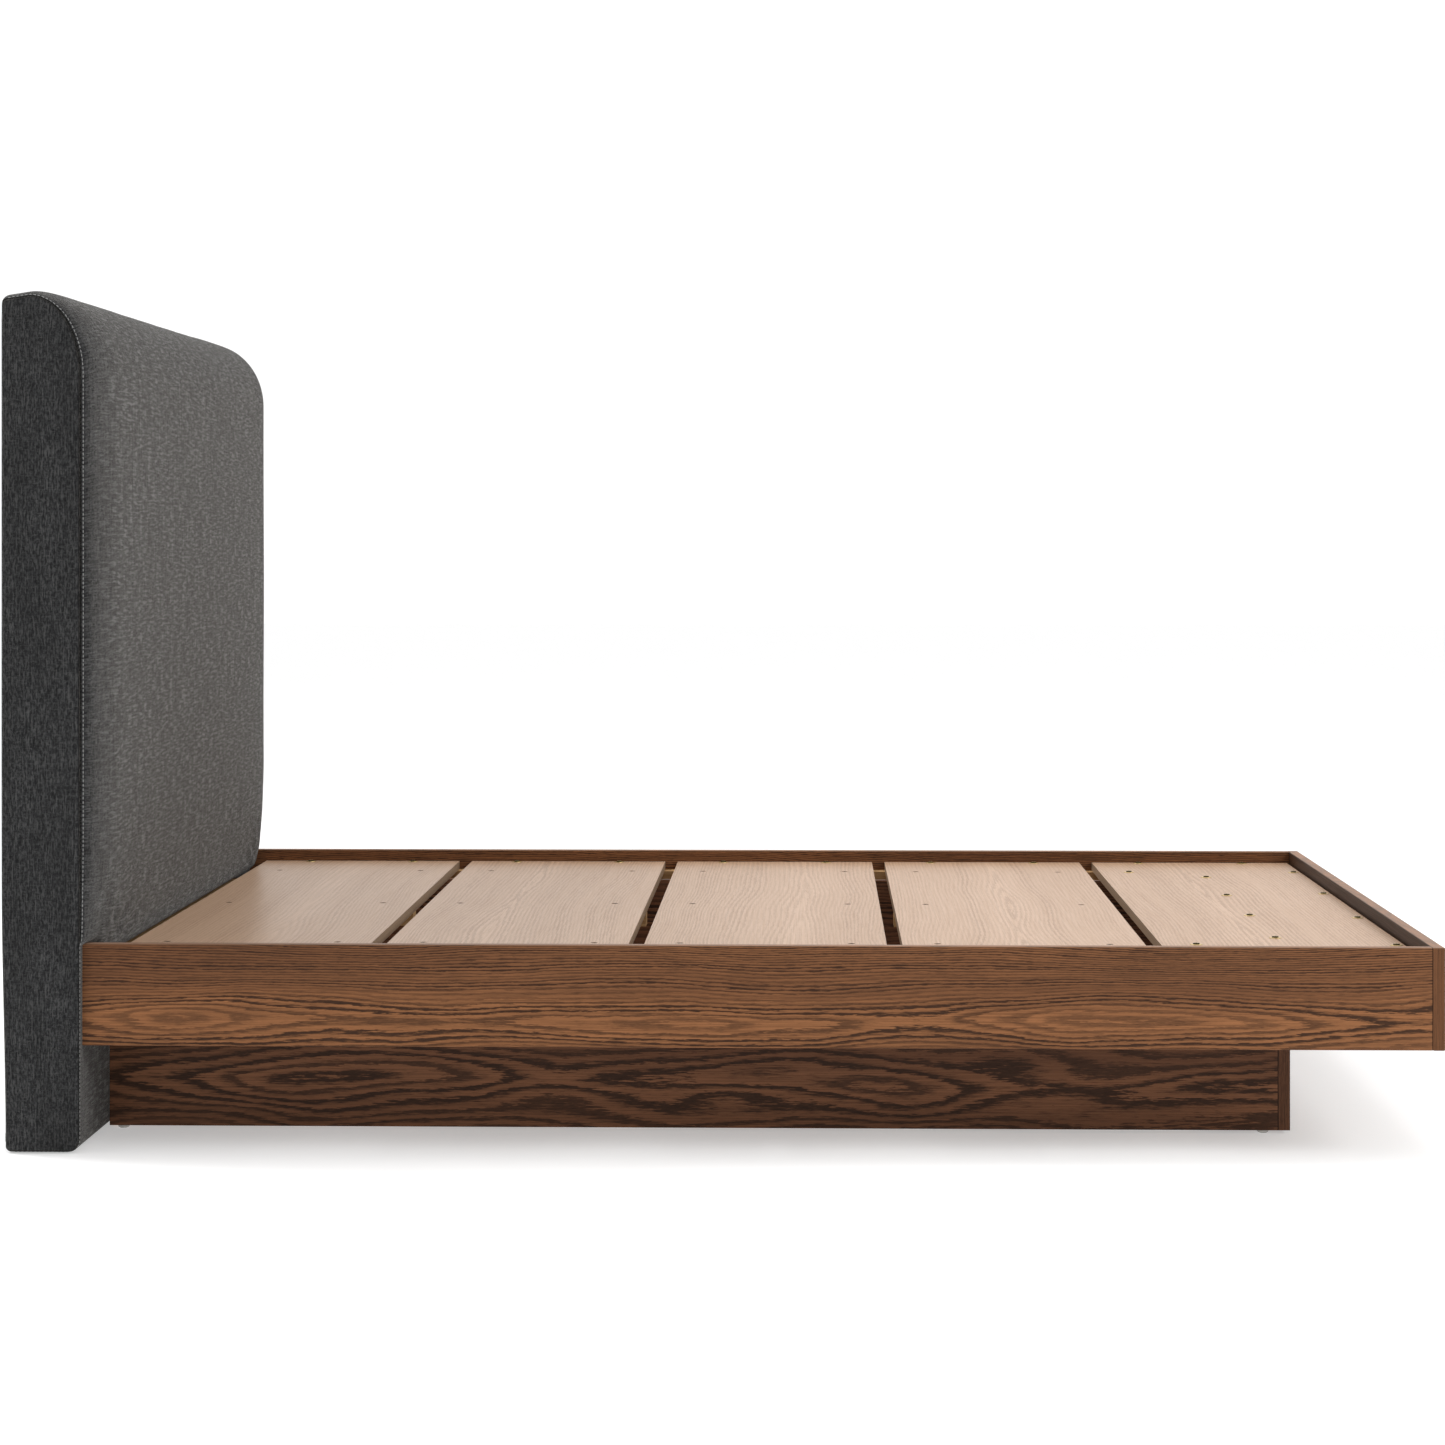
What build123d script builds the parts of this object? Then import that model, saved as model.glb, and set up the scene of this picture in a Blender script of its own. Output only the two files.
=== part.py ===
from build123d import *
import os

# A queen-size platform bed: an upholstered headboard, three veneered rails, five deck panels
# that lie on cleats, and a recessed plinth that stands on levelling feet.
# +Z is up, +Y points to the headboard, and the origin is on the floor under the bed's centre.
# "Left" is -X, as seen from the foot end. All sizes are in millimetres.

# ---- driving dimensions ----
BED_WIDTH = 1600.0            # over the side rails
OVERALL_LENGTH = 2208.0       # foot rail's face to the headboard's back
BOARD = 19.0                  # rails and plinth boards
RAIL_BOTTOM, RAIL_TOP = 163.0, 320.0
DECK_TOP = 298.0              # the mattress lies 22 mm below the rails' top edge
DECK_THICKNESS = 16.0
PANEL_COUNT = 5
PANEL_LENGTH, PANEL_GAP = 385.6, 25.0
PANEL_CLEARANCE = 1.5         # between a deck panel's end and a side rail
FOOT_CLEARANCE = 5.4          # between the last panel and the foot rail
ARRIS = 2.0                   # rounding of the rails' long edges

HEADBOARD_WIDTH = 1640.0
HEADBOARD_THICKNESS = 121.0   # at the side seam
HEADBOARD_BOTTOM = 2.0        # it all but stands on the floor, on thin glides
HEADBOARD_TOP = 1316.5        # at the side seam; the crown is higher
BACK_TOP = 1311.0             # the top falls a little towards the back
CROWN_TOP = 10.0              # how far the middle stands above the side seam
CROWN_FRONT = 39.5            # how far the middle stands in front of the side seam
CROWN_FADE = 120.0            # from the side seam to the crown's full depth
CROWN_FADE_TOP = 260.0        # from the side seam to the crown's full height
CROWN_BOTTOM = 324.0          # the crown is above the rails only
CORNER_DEPTH, CORNER_HEIGHT = 78.0, 123.5   # the big rounded front-top corner
BACK_RADIUS = 9.0
CLOTH = 2.0                   # cover
PAD = 24.0                    # foam at the front and sides
FRONT_BOARD = 12.0            # plywood behind the front foam
FRAME_WOOD = 40.0             # stiles and rails of the headboard's frame
FRAME_TOP = 1260.0

PLINTH_RECESS = 207.0         # in from the side rails' outer faces, and from the foot rail's
PLINTH_BOTTOM = 5.0
CLEAT_WIDTH, CLEAT_HEIGHT = 38.0, 19.0
BATTEN_WIDTH, BATTEN_HEIGHT = 45.0, 22.0
LEG_SIDE = 45.0
PLINTH_BLOCK_SIDE, PLINTH_BLOCK_HEIGHT = 30.0, 220.0
RAIL_BLOCK_SIDE, RAIL_BLOCK_HEIGHT = 35.0, 90.0

SCREW_SHANK, SCREW_LENGTH = 2.4, 34.0       # radius, length below the deck's top
WAFER_RADIUS, WAFER_THICKNESS = 10.0, 1.2   # the flange of a wafer-headed screw
DOME_RADIUS, DOME_HEIGHT = 5.4, 3.4         # the dome that stands on the flange
SPOT_DEPTH, SPOT_PLAY = 0.3, 0.3            # the shallow spot face that a wafer head sits in
SINK_RADIUS, SINK_HEIGHT = 5.2, 3.0         # the head of a countersunk screw
SINK_DEPTH = 0.5              # a countersunk head's top, below the deck's top
SINK_PLAY = 0.6               # gap round a countersunk head
CROSS_LENGTH, CROSS_WIDTH, CROSS_DEPTH = 5.6, 1.2, 1.6
CLEAT_SCREW_INSET = 91.0      # a screw's distance from the panel's edge, over a side cleat
PLINTH_SCREW_INSET = 56.0     # the same over a plinth side board and on the centre line
PLINTH_FOOT_SCREWS_X = (163.0, 489.0)       # the last panel's screws in the plinth's foot board
FOOT_CLEAT_SCREWS_X = (195.0, 586.0)        # the last panel's screws in the foot cleat
HOLE_PLAY = 0.1
BEYOND = 1.0                  # how far a cutter runs past a face

DOWEL_RADIUS, DOWEL_LENGTH = 4.0, 26.0
RAIL_DOWEL_HEIGHTS = (203.0, 265.0)
PLINTH_DOWEL_HEIGHTS = (60.0, 220.0)
PLINTH_BLOCK_LIFT = 20.0      # a corner block's lower end above the plinth's lower edge
FOOT_PAD_RADIUS, FOOT_PAD_HEIGHT = 9.0, 5.0
FOOT_ROUNDING = 3.8           # the pad's lower edge
FOOT_STEM, FOOT_STEM_LENGTH = 3.95, 30.0
INSERT_RADIUS, INSERT_LENGTH = 5.5, 15.0
STEM_PLAY = 0.05              # between a stem and its insert
STEM_ROOM = 0.6               # round the stem in the board above the insert
FOOT_HEAD_INSET = 21.0        # from the headboard's face to the first foot
FOOT_END_INSET = 42.0         # from the plinth's foot end to the last foot

BOLT_RADIUS, BOLT_HEAD_RADIUS, BOLT_HEAD_HEIGHT = 4.0, 9.0, 5.0
BOLT_REACH = 30.0             # how far a headboard bolt goes into the frame
BOLT_INSERT_RADIUS, BOLT_INSERT_LENGTH = 6.5, 20.0
BRACKET_THICKNESS, BRACKET_HEIGHT = 3.0, 70.0
BRACKET_HEAD_LEG, BRACKET_RAIL_LEG = 40.0, 64.0
BRACKET_BOTTOM = 182.0
BRACKET_BOLT_INSET = 22.0     # from the side rail's inner face
BRACKET_HEIGHTS = (18.0, 52.0)              # bolts and screws above the bracket's lower edge
BRACKET_SCREW_INSETS = (18.0, 46.0)         # from the headboard's face
BRACKET_SCREW_RADIUS, BRACKET_SCREW_LENGTH = 1.95, 13.0
PLINTH_BOLT_X, PLINTH_BOLT_Z = 400.0, 235.0
MIDDLE_RAIL_BOTTOM, MIDDLE_RAIL_HEIGHT = 185.0, 90.0
GLIDE_RADIUS, GLIDE_ROUNDING = 12.5, 1.0
GLIDE_INNER_X, GLIDE_EDGE = 300.0, 25.0     # the inner pair's X, the outer pair's inset
GLIDE_BEHIND_FRONT = 55.0
NAIL_RADIUS, NAIL_LENGTH = 1.5, 18.0
LEG_BOLT_IN_LEG, LEG_BOLT_BELOW_DECK = 40.0, 4.0

# ---- places worked out from them ----
back_y = OVERALL_LENGTH / 2
foot_y = -OVERALL_LENGTH / 2
seam_y = back_y - HEADBOARD_THICKNESS
rail_outer = BED_WIDTH / 2
rail_inner = rail_outer - BOARD
rail_end = foot_y + BOARD
deck_bottom = DECK_TOP - DECK_THICKNESS
panel_half = rail_inner - PANEL_CLEARANCE
first_panel = rail_end + FOOT_CLEARANCE
plinth_outer = rail_outer - PLINTH_RECESS
plinth_inner = plinth_outer - BOARD
plinth_line = (plinth_outer + plinth_inner) / 2
plinth_foot = foot_y + PLINTH_RECESS
plinth_side_end = plinth_foot + BOARD
batten_bottom = deck_bottom - BATTEN_HEIGHT
head_half = HEADBOARD_WIDTH / 2
cover_half = head_half - CLOTH
frame_half = cover_half - PAD
frame_front = seam_y + CLOTH + PAD
stile_front = frame_front + FRONT_BOARD
frame_back = back_y - CLOTH
frame_bottom = HEADBOARD_BOTTOM + CLOTH
middle_rail_top = MIDDLE_RAIL_BOTTOM + MIDDLE_RAIL_HEIGHT

SIDES = {"left": -1, "right": 1}
parts = {}


def block(x0, x1, y0, y1, z0, z1):
    """A box between two corners."""
    centre = ((x0 + x1) / 2, (y0 + y1) / 2, (z0 + z1) / 2)
    return Pos(*centre) * Box(abs(x1 - x0), abs(y1 - y0), abs(z1 - z0))


def post(radius, x, y, z0, z1):
    """An upright cylinder."""
    return Pos(x, y, (z0 + z1) / 2) * Cylinder(radius, z1 - z0)


def rod_y(radius, x, z, y0, y1):
    """A cylinder along Y."""
    return Pos(x, (y0 + y1) / 2, z) * Rot(90, 0, 0) * Cylinder(radius, abs(y1 - y0))


def rod_x(radius, y, z, x0, x1):
    """A cylinder along X."""
    return Pos((x0 + x1) / 2, y, z) * Rot(0, 90, 0) * Cylinder(radius, abs(x1 - x0))


def group(solids):
    """Several separate solids as one node."""
    return Compound(children=list(solids))


def round_long_edges(board, axis):
    return fillet(board.edges().filter_by(axis), ARRIS)


# ---- headboard ----
def headboard_outline(inset=0.0, front=0.0, top=0.0):
    """The headboard's side view in the YZ plane: inset all round, then grown by the crown."""
    y_front = seam_y + inset - front
    y_back = back_y - inset
    z_bottom = HEADBOARD_BOTTOM + inset
    z_top = HEADBOARD_TOP - inset + top
    z_back = BACK_TOP - inset + top
    depth = CORNER_DEPTH - inset + front
    height = CORNER_HEIGHT - inset
    radius = BACK_RADIUS - inset
    corner = EllipticalCenterArc((y_front + depth, z_top - height), depth, height, 90, arc_size=90)
    lines = [
        corner,
        Line((y_front, z_top - height), (y_front, z_bottom)),
        Line((y_front, z_bottom), (y_back, z_bottom)),
        Line((y_back, z_bottom), (y_back, z_back)),
        Line((y_back, z_back), (y_front + depth, z_top)),
    ]
    face = make_face(lines)
    back_corner = face.vertices().sort_by_distance((y_back, z_back))[0]
    return Plane.YZ * fillet(back_corner, radius)


def prism_x(outline, x0, x1):
    """The side view drawn out from x0 to x1."""
    return Pos(x0, 0, 0) * extrude(outline, x1 - x0, dir=(1, 0, 0))


def crown_plan(inset):
    """The crown seen from above: level with the seam at the sides, full depth in the middle."""
    side, full = cover_half, cover_half - CROWN_FADE
    y_seam = seam_y + inset
    y_front = y_seam - CROWN_FRONT
    right = EllipticalCenterArc((full, y_seam), CROWN_FADE, CROWN_FRONT, 0, arc_size=-90)
    left = EllipticalCenterArc((-full, y_seam), CROWN_FADE, CROWN_FRONT, 270, arc_size=-90)
    lines = [
        right,
        Line((full, y_front), (-full, y_front)),
        left,
        Line((-side, y_seam), (-side, back_y)),
        Line((-side, back_y), (side, back_y)),
        Line((side, back_y), (side, y_seam)),
    ]
    return extrude(make_face(lines), HEADBOARD_TOP + CROWN_TOP, dir=(0, 0, 1))


def crown_front_view(inset):
    """The crown seen from the front: level with the side seam at the ends of its top edge."""
    side, full = cover_half, cover_half - CROWN_FADE_TOP
    z_seam = HEADBOARD_TOP - inset
    z_top = z_seam + CROWN_TOP
    lines = [
        EllipticalCenterArc((full, z_seam), CROWN_FADE_TOP, CROWN_TOP, 0, arc_size=90),
        Line((full, z_top), (-full, z_top)),
        EllipticalCenterArc((-full, z_seam), CROWN_FADE_TOP, CROWN_TOP, 90, arc_size=90),
        Line((-side, z_seam), (-side, 0)),
        Line((-side, 0), (side, 0)),
        Line((side, 0), (side, z_seam)),
    ]
    face = Plane.XZ * make_face(lines)
    return extrude(face, OVERALL_LENGTH, dir=(0, 1, 0))


def crowned_body(inset):
    """The padded headboard's outside, or its inside face when inset by the cover's thickness."""
    plain = prism_x(headboard_outline(inset), -cover_half, cover_half)
    grown = prism_x(headboard_outline(inset, CROWN_FRONT, CROWN_TOP), -cover_half, cover_half)
    above_rails = block(-cover_half, cover_half, foot_y, back_y, CROWN_BOTTOM + inset, 2 * HEADBOARD_TOP)
    crown = grown & crown_plan(inset) & crown_front_view(inset) & above_rails
    return plain + crown


body_outside = crowned_body(0)
body_inside = crowned_body(CLOTH)
frame_space = block(-frame_half, frame_half, frame_front, back_y, 0, FRAME_TOP)
back_cover_top = BACK_TOP - CLOTH - BACK_RADIUS
back_opening = block(-cover_half, cover_half, frame_back, back_y, frame_bottom, back_cover_top)

# The bolts that hold the bed to the headboard run along Y through all its front layers.
bracket_bolts = [(side * (rail_inner - BRACKET_BOLT_INSET), BRACKET_BOTTOM + z)
                 for side in SIDES.values() for z in BRACKET_HEIGHTS]
plinth_bolts = [(side * PLINTH_BOLT_X, PLINTH_BOLT_Z) for side in SIDES.values()]
bolt_places = bracket_bolts + plinth_bolts
bolt_end = stile_front + BOLT_REACH
insert_end = stile_front + BOLT_INSERT_LENGTH
bolt_holes = [rod_y(BOLT_RADIUS + HOLE_PLAY, x, z, seam_y - BOARD - BEYOND, bolt_end + BEYOND)
              for x, z in bolt_places]
insert_holes = [rod_y(BOLT_INSERT_RADIUS, x, z, stile_front, insert_end) for x, z in bolt_places]

glide_places = [(side * x, frame_front + GLIDE_BEHIND_FRONT)
                for side in SIDES.values() for x in (GLIDE_INNER_X, frame_half - GLIDE_EDGE)]
nail_top = HEADBOARD_BOTTOM + NAIL_LENGTH
nail_holes = [post(NAIL_RADIUS + HOLE_PLAY, x, y, HEADBOARD_BOTTOM - BEYOND, nail_top + BEYOND)
              for x, y in glide_places]

parts["headboard_front_cover"] = body_outside - body_inside - back_opening - bolt_holes - nail_holes
for name, side in SIDES.items():
    seam_x, outer_x = side * cover_half, side * head_half
    panel = prism_x(headboard_outline(), min(seam_x, outer_x), max(seam_x, outer_x))
    parts[f"headboard_side_cover_{name}"] = panel
parts["headboard_back_cover"] = back_opening

foam = body_inside - frame_space - bolt_holes
below_frame_top = block(-head_half, head_half, foot_y, back_y, 0, FRAME_TOP)
front_zone = block(-head_half, head_half, foot_y, frame_front, 0, FRAME_TOP)
parts["headboard_top_foam"] = foam - below_frame_top
parts["headboard_front_foam"] = foam & front_zone
for name, side in SIDES.items():
    edge = block(side * frame_half, side * cover_half, frame_front, frame_back, 0, FRAME_TOP)
    parts[f"headboard_side_foam_{name}"] = foam & edge

parts["headboard_front_board"] = (
    block(-frame_half, frame_half, frame_front, stile_front, frame_bottom, FRAME_TOP) - bolt_holes
)
for name, side in SIDES.items():
    stile = block(side * (frame_half - FRAME_WOOD), side * frame_half, stile_front, frame_back,
                  frame_bottom, FRAME_TOP - FRAME_WOOD)
    parts[f"headboard_stile_{name}"] = stile - bolt_holes - insert_holes - nail_holes
stile_inner = frame_half - FRAME_WOOD
parts["headboard_top_rail"] = block(
    -frame_half, frame_half, stile_front, frame_back, FRAME_TOP - FRAME_WOOD, FRAME_TOP
)
parts["headboard_bottom_rail"] = (
    block(-stile_inner, stile_inner, stile_front, frame_back, frame_bottom, frame_bottom + FRAME_WOOD)
    - nail_holes
)
parts["headboard_middle_rail"] = (
    block(-stile_inner, stile_inner, stile_front, stile_front + FRAME_WOOD,
          MIDDLE_RAIL_BOTTOM, middle_rail_top)
    - bolt_holes - insert_holes
)
parts["headboard_centre_stile"] = block(
    -FRAME_WOOD / 2, FRAME_WOOD / 2, stile_front, frame_back, middle_rail_top, FRAME_TOP - FRAME_WOOD
)


def headboard_glide(x, y):
    """A nail-on glide: a disc with a rounded rim, and its nail."""
    disc = post(GLIDE_RADIUS, x, y, 0, HEADBOARD_BOTTOM)
    lower_rim = disc.edges().filter_by(GeomType.CIRCLE).sort_by(Axis.Z)[0]
    return fillet(lower_rim, GLIDE_ROUNDING) + post(NAIL_RADIUS, x, y, HEADBOARD_BOTTOM - BEYOND, nail_top)


parts["headboard_glides"] = group(headboard_glide(x, y) for x, y in glide_places)

# ---- rails ----
rail_line = (rail_outer + rail_inner) / 2


def dowels(x_line, joint_y, heights):
    """Dowels along Y across a joint between two boards, on both sides of the bed."""
    return [rod_y(DOWEL_RADIUS, side * x_line, z, joint_y - BOARD / 2, joint_y - BOARD / 2 + DOWEL_LENGTH)
            for side in SIDES.values() for z in heights]


rail_dowels = dowels(rail_line, rail_end, RAIL_DOWEL_HEIGHTS)
parts["rail_dowels"] = group(rail_dowels)

bracket_screw_places = [(seam_y - y, BRACKET_BOTTOM + z)
                        for y in BRACKET_SCREW_INSETS for z in BRACKET_HEIGHTS]
pilot_end = rail_inner + BRACKET_SCREW_LENGTH + BEYOND
for name, side in SIDES.items():
    rail = block(side * rail_inner, side * rail_outer, rail_end, seam_y, RAIL_BOTTOM, RAIL_TOP)
    pilot_holes = [rod_x(BRACKET_SCREW_RADIUS + STEM_PLAY, y, z, side * rail_inner, side * pilot_end)
                   for y, z in bracket_screw_places]
    parts[f"side_rail_{name}"] = round_long_edges(rail, Axis.Y) - rail_dowels - pilot_holes
foot_rail = block(-rail_outer, rail_outer, foot_y, rail_end, RAIL_BOTTOM, RAIL_TOP)
parts["foot_rail"] = round_long_edges(foot_rail, Axis.X) - rail_dowels

# ---- deck panels, and where their screws go ----
panel_ranges = []
for number in range(PANEL_COUNT):
    start = first_panel + (PANEL_COUNT - 1 - number) * (PANEL_LENGTH + PANEL_GAP)
    panel_ranges.append((start, start + PANEL_LENGTH))
cleat_line = rail_inner - CLEAT_WIDTH / 2
foot_cleat_y = rail_end + CLEAT_WIDTH / 2
plinth_foot_line = plinth_foot + BOARD / 2


def wafer_places(number):
    """The (x, y) of the wafer-headed screws in one deck panel. Panel 0 is at the headboard."""
    low, high = panel_ranges[number]
    places = [(side * cleat_line, y) for side in SIDES.values()
              for y in (low + CLEAT_SCREW_INSET, high - CLEAT_SCREW_INSET)]
    if number == PANEL_COUNT - 1:
        for side in SIDES.values():
            places.append((side * plinth_line, high - PLINTH_SCREW_INSET))
            places += [(side * x, plinth_foot_line) for x in PLINTH_FOOT_SCREWS_X]
            places += [(side * x, foot_cleat_y) for x in FOOT_CLEAT_SCREWS_X]
    return places


def sunk_places(number):
    """The (x, y) of the countersunk screws, over the plinth's side boards and the batten."""
    if number == PANEL_COUNT - 1:
        return []
    low, high = panel_ranges[number]
    return [(x, y) for x in (-plinth_line, 0, plinth_line)
            for y in (low + PLINTH_SCREW_INSET, high - PLINTH_SCREW_INSET)]


wafer_screws = [place for number in range(PANEL_COUNT) for place in wafer_places(number)]
sunk_screws = [place for number in range(PANEL_COUNT) for place in sunk_places(number)]
screw_point = DECK_TOP - SCREW_LENGTH
wafer_seat = DECK_TOP - SPOT_DEPTH
sink_top = DECK_TOP - SINK_DEPTH


def screw_holes(x0, x1, y0, y1):
    """Holes for the screws that go through one board's plan area."""
    return [post(SCREW_SHANK + HOLE_PLAY, x, y, screw_point - BEYOND, DECK_TOP + BEYOND)
            for x, y in wafer_screws + sunk_screws if y0 < y < y1 and x0 < x < x1]


def cone(radius, x, y, top):
    """A countersunk head's cone, from the shank's radius up to the one given."""
    return Pos(x, y, top - SINK_HEIGHT / 2) * Cone(SCREW_SHANK, radius, SINK_HEIGHT)


def countersink(x, y):
    return (cone(SINK_RADIUS + SINK_PLAY, x, y, sink_top)
            + post(SINK_RADIUS + SINK_PLAY, x, y, sink_top, DECK_TOP + BEYOND))


for number, (low, high) in enumerate(panel_ranges):
    panel = block(-panel_half, panel_half, low, high, deck_bottom, DECK_TOP)
    sinks = [countersink(x, y) for x, y in sunk_places(number)]
    spots = [post(WAFER_RADIUS + SPOT_PLAY, x, y, wafer_seat, DECK_TOP + BEYOND)
             for x, y in wafer_places(number)]
    holes = screw_holes(-panel_half, panel_half, low, high)
    parts[f"deck_panel_{number + 1}"] = panel - holes - sinks - spots


def cross_recess(x, y, top):
    middle = Pos(x, y, top)
    return (middle * Box(CROSS_LENGTH, CROSS_WIDTH, 2 * CROSS_DEPTH)
            + middle * Box(CROSS_WIDTH, CROSS_LENGTH, 2 * CROSS_DEPTH))


def wafer_screw(x, y):
    """A screw with a wide flange and a low dome, standing in its spot face."""
    shank = post(SCREW_SHANK, x, y, screw_point, wafer_seat)
    flange = post(WAFER_RADIUS, x, y, wafer_seat, wafer_seat + WAFER_THICKNESS)
    flange = fillet(flange.edges().filter_by(GeomType.CIRCLE).sort_by(Axis.Z)[-1], WAFER_THICKNESS / 2)
    dome = post(DOME_RADIUS, x, y, wafer_seat, wafer_seat + DOME_HEIGHT)
    dome = fillet(dome.edges().filter_by(GeomType.CIRCLE).sort_by(Axis.Z)[-1], DOME_HEIGHT / 2)
    return shank + flange + dome - cross_recess(x, y, wafer_seat + DOME_HEIGHT)


def sunk_screw(x, y):
    """A countersunk screw, just below the deck's surface."""
    shank = post(SCREW_SHANK, x, y, screw_point, sink_top - SINK_HEIGHT)
    return shank + cone(SINK_RADIUS, x, y, sink_top) - cross_recess(x, y, sink_top)


parts["wafer_head_screws"] = group(wafer_screw(x, y) for x, y in wafer_screws)
parts["countersunk_screws"] = group(sunk_screw(x, y) for x, y in sunk_screws)

# ---- cleats ----
cleat_top, cleat_bottom = deck_bottom, deck_bottom - CLEAT_HEIGHT
cleat_inner = rail_inner - CLEAT_WIDTH
cleat_head_end = seam_y - BOARD
for name, side in SIDES.items():
    x0, x1 = sorted((side * cleat_inner, side * rail_inner))
    cleat = block(x0, x1, rail_end, cleat_head_end, cleat_bottom, cleat_top)
    parts[f"cleat_{name}"] = cleat - screw_holes(x0, x1, rail_end, cleat_head_end)
foot_cleat = block(-cleat_inner, cleat_inner, rail_end, rail_end + CLEAT_WIDTH, cleat_bottom, cleat_top)
parts["cleat_foot"] = foot_cleat - screw_holes(
    -cleat_inner, cleat_inner, rail_end, rail_end + CLEAT_WIDTH
)
parts["rail_corner_blocks"] = group(
    block(side * rail_inner, side * (rail_inner - RAIL_BLOCK_SIDE), rail_end, rail_end + RAIL_BLOCK_SIDE,
          cleat_bottom - RAIL_BLOCK_HEIGHT, cleat_bottom)
    for side in SIDES.values()
)

# ---- battens and centre legs, under every panel but the last ----
leg_foot_places = []
leg_bolts = []
for number, (low, high) in enumerate(panel_ranges[:-1], start=1):
    middle = (low + high) / 2
    bolt = post(BOLT_RADIUS, 0, middle, batten_bottom - LEG_BOLT_IN_LEG, deck_bottom - LEG_BOLT_BELOW_DECK)
    batten = block(-BATTEN_WIDTH / 2, BATTEN_WIDTH / 2, low, high, batten_bottom, deck_bottom)
    parts[f"batten_{number}"] = (
        batten - screw_holes(-BATTEN_WIDTH / 2, BATTEN_WIDTH / 2, low, high) - bolt
    )
    leg = block(-LEG_SIDE / 2, LEG_SIDE / 2, middle - LEG_SIDE / 2, middle + LEG_SIDE / 2,
                PLINTH_BOTTOM, batten_bottom)
    parts[f"centre_leg_{number}"] = round_long_edges(leg, Axis.Z) - bolt
    leg_bolts.append(bolt)
    leg_foot_places.append((0.0, middle))
parts["leg_bolts"] = group(leg_bolts)

# ---- plinth ----
plinth_dowels = dowels(plinth_line, plinth_side_end, PLINTH_DOWEL_HEIGHTS)
parts["plinth_dowels"] = group(plinth_dowels)
for name, side in SIDES.items():
    x0, x1 = sorted((side * plinth_inner, side * plinth_outer))
    board = block(x0, x1, plinth_side_end, seam_y, PLINTH_BOTTOM, deck_bottom)
    parts[f"plinth_side_{name}"] = (
        board - screw_holes(x0, x1, plinth_side_end, seam_y) - plinth_dowels
    )
foot_board = block(-plinth_outer, plinth_outer, plinth_foot, plinth_side_end, PLINTH_BOTTOM, deck_bottom)
parts["plinth_foot_board"] = (
    foot_board
    - screw_holes(-plinth_outer, plinth_outer, plinth_foot, plinth_side_end)
    - plinth_dowels
)
parts["plinth_head_board"] = (
    block(-plinth_inner, plinth_inner, seam_y - BOARD, seam_y, PLINTH_BOTTOM, deck_bottom) - bolt_holes
)
block_y = ((plinth_side_end, plinth_side_end + PLINTH_BLOCK_SIDE),
           (seam_y - BOARD - PLINTH_BLOCK_SIDE, seam_y - BOARD))
block_bottom = PLINTH_BOTTOM + PLINTH_BLOCK_LIFT
parts["plinth_corner_blocks"] = group(
    block(side * plinth_inner, side * (plinth_inner - PLINTH_BLOCK_SIDE), y0, y1,
          block_bottom, block_bottom + PLINTH_BLOCK_HEIGHT)
    for side in SIDES.values() for y0, y1 in block_y
)

# ---- brackets, bolts and inserts between the bed and the headboard ----
for name, side in SIDES.items():
    top = BRACKET_BOTTOM + BRACKET_HEIGHT
    x_rail = side * rail_inner
    x_inside = x_rail - side * BRACKET_THICKNESS
    rail_leg = block(x_rail, x_inside, seam_y - BRACKET_RAIL_LEG, seam_y, BRACKET_BOTTOM, top)
    head_leg = block(x_rail, x_rail - side * BRACKET_HEAD_LEG, seam_y - BRACKET_THICKNESS, seam_y,
                     BRACKET_BOTTOM, top)
    screw_clearances = [rod_x(BRACKET_SCREW_RADIUS + 2 * HOLE_PLAY, y, z, x_rail, x_inside)
                        for y, z in bracket_screw_places]
    parts[f"bracket_{name}"] = rail_leg + head_leg - bolt_holes - screw_clearances


def bracket_screw(side, y, z):
    """A pan-headed screw through the bracket into the rail."""
    x_seat = side * (rail_inner - BRACKET_THICKNESS)
    shank = rod_x(BRACKET_SCREW_RADIUS, y, z, x_seat, side * (rail_inner + BRACKET_SCREW_LENGTH))
    head = rod_x(2 * BRACKET_SCREW_RADIUS, y, z, x_seat - side * BRACKET_SCREW_RADIUS, x_seat)
    return shank + head


def headboard_bolt(x, z, y_seat):
    """A cap-headed bolt along Y, with a hexagonal socket as deep as half its head."""
    y_head = y_seat - BOLT_HEAD_HEIGHT
    shank = rod_y(BOLT_RADIUS, x, z, y_seat, bolt_end)
    head = rod_y(BOLT_HEAD_RADIUS, x, z, y_head, y_seat)
    socket_plane = Plane((x, y_head, z), z_dir=(0, 1, 0))
    socket = extrude(socket_plane * RegularPolygon(BOLT_RADIUS * 0.75, 6), BOLT_HEAD_HEIGHT / 2)
    return shank + head - socket


parts["bracket_screws"] = group(
    bracket_screw(side, y, z) for side in SIDES.values() for y, z in bracket_screw_places
)
parts["headboard_bolts"] = group(
    [headboard_bolt(x, z, seam_y - BRACKET_THICKNESS) for x, z in bracket_bolts]
    + [headboard_bolt(x, z, seam_y - BOARD) for x, z in plinth_bolts]
)
parts["headboard_inserts"] = group(
    rod_y(BOLT_INSERT_RADIUS, x, z, stile_front, insert_end)
    - rod_y(BOLT_RADIUS + HOLE_PLAY, x, z, stile_front - BEYOND, insert_end + BEYOND)
    for x, z in bolt_places
)

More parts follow.
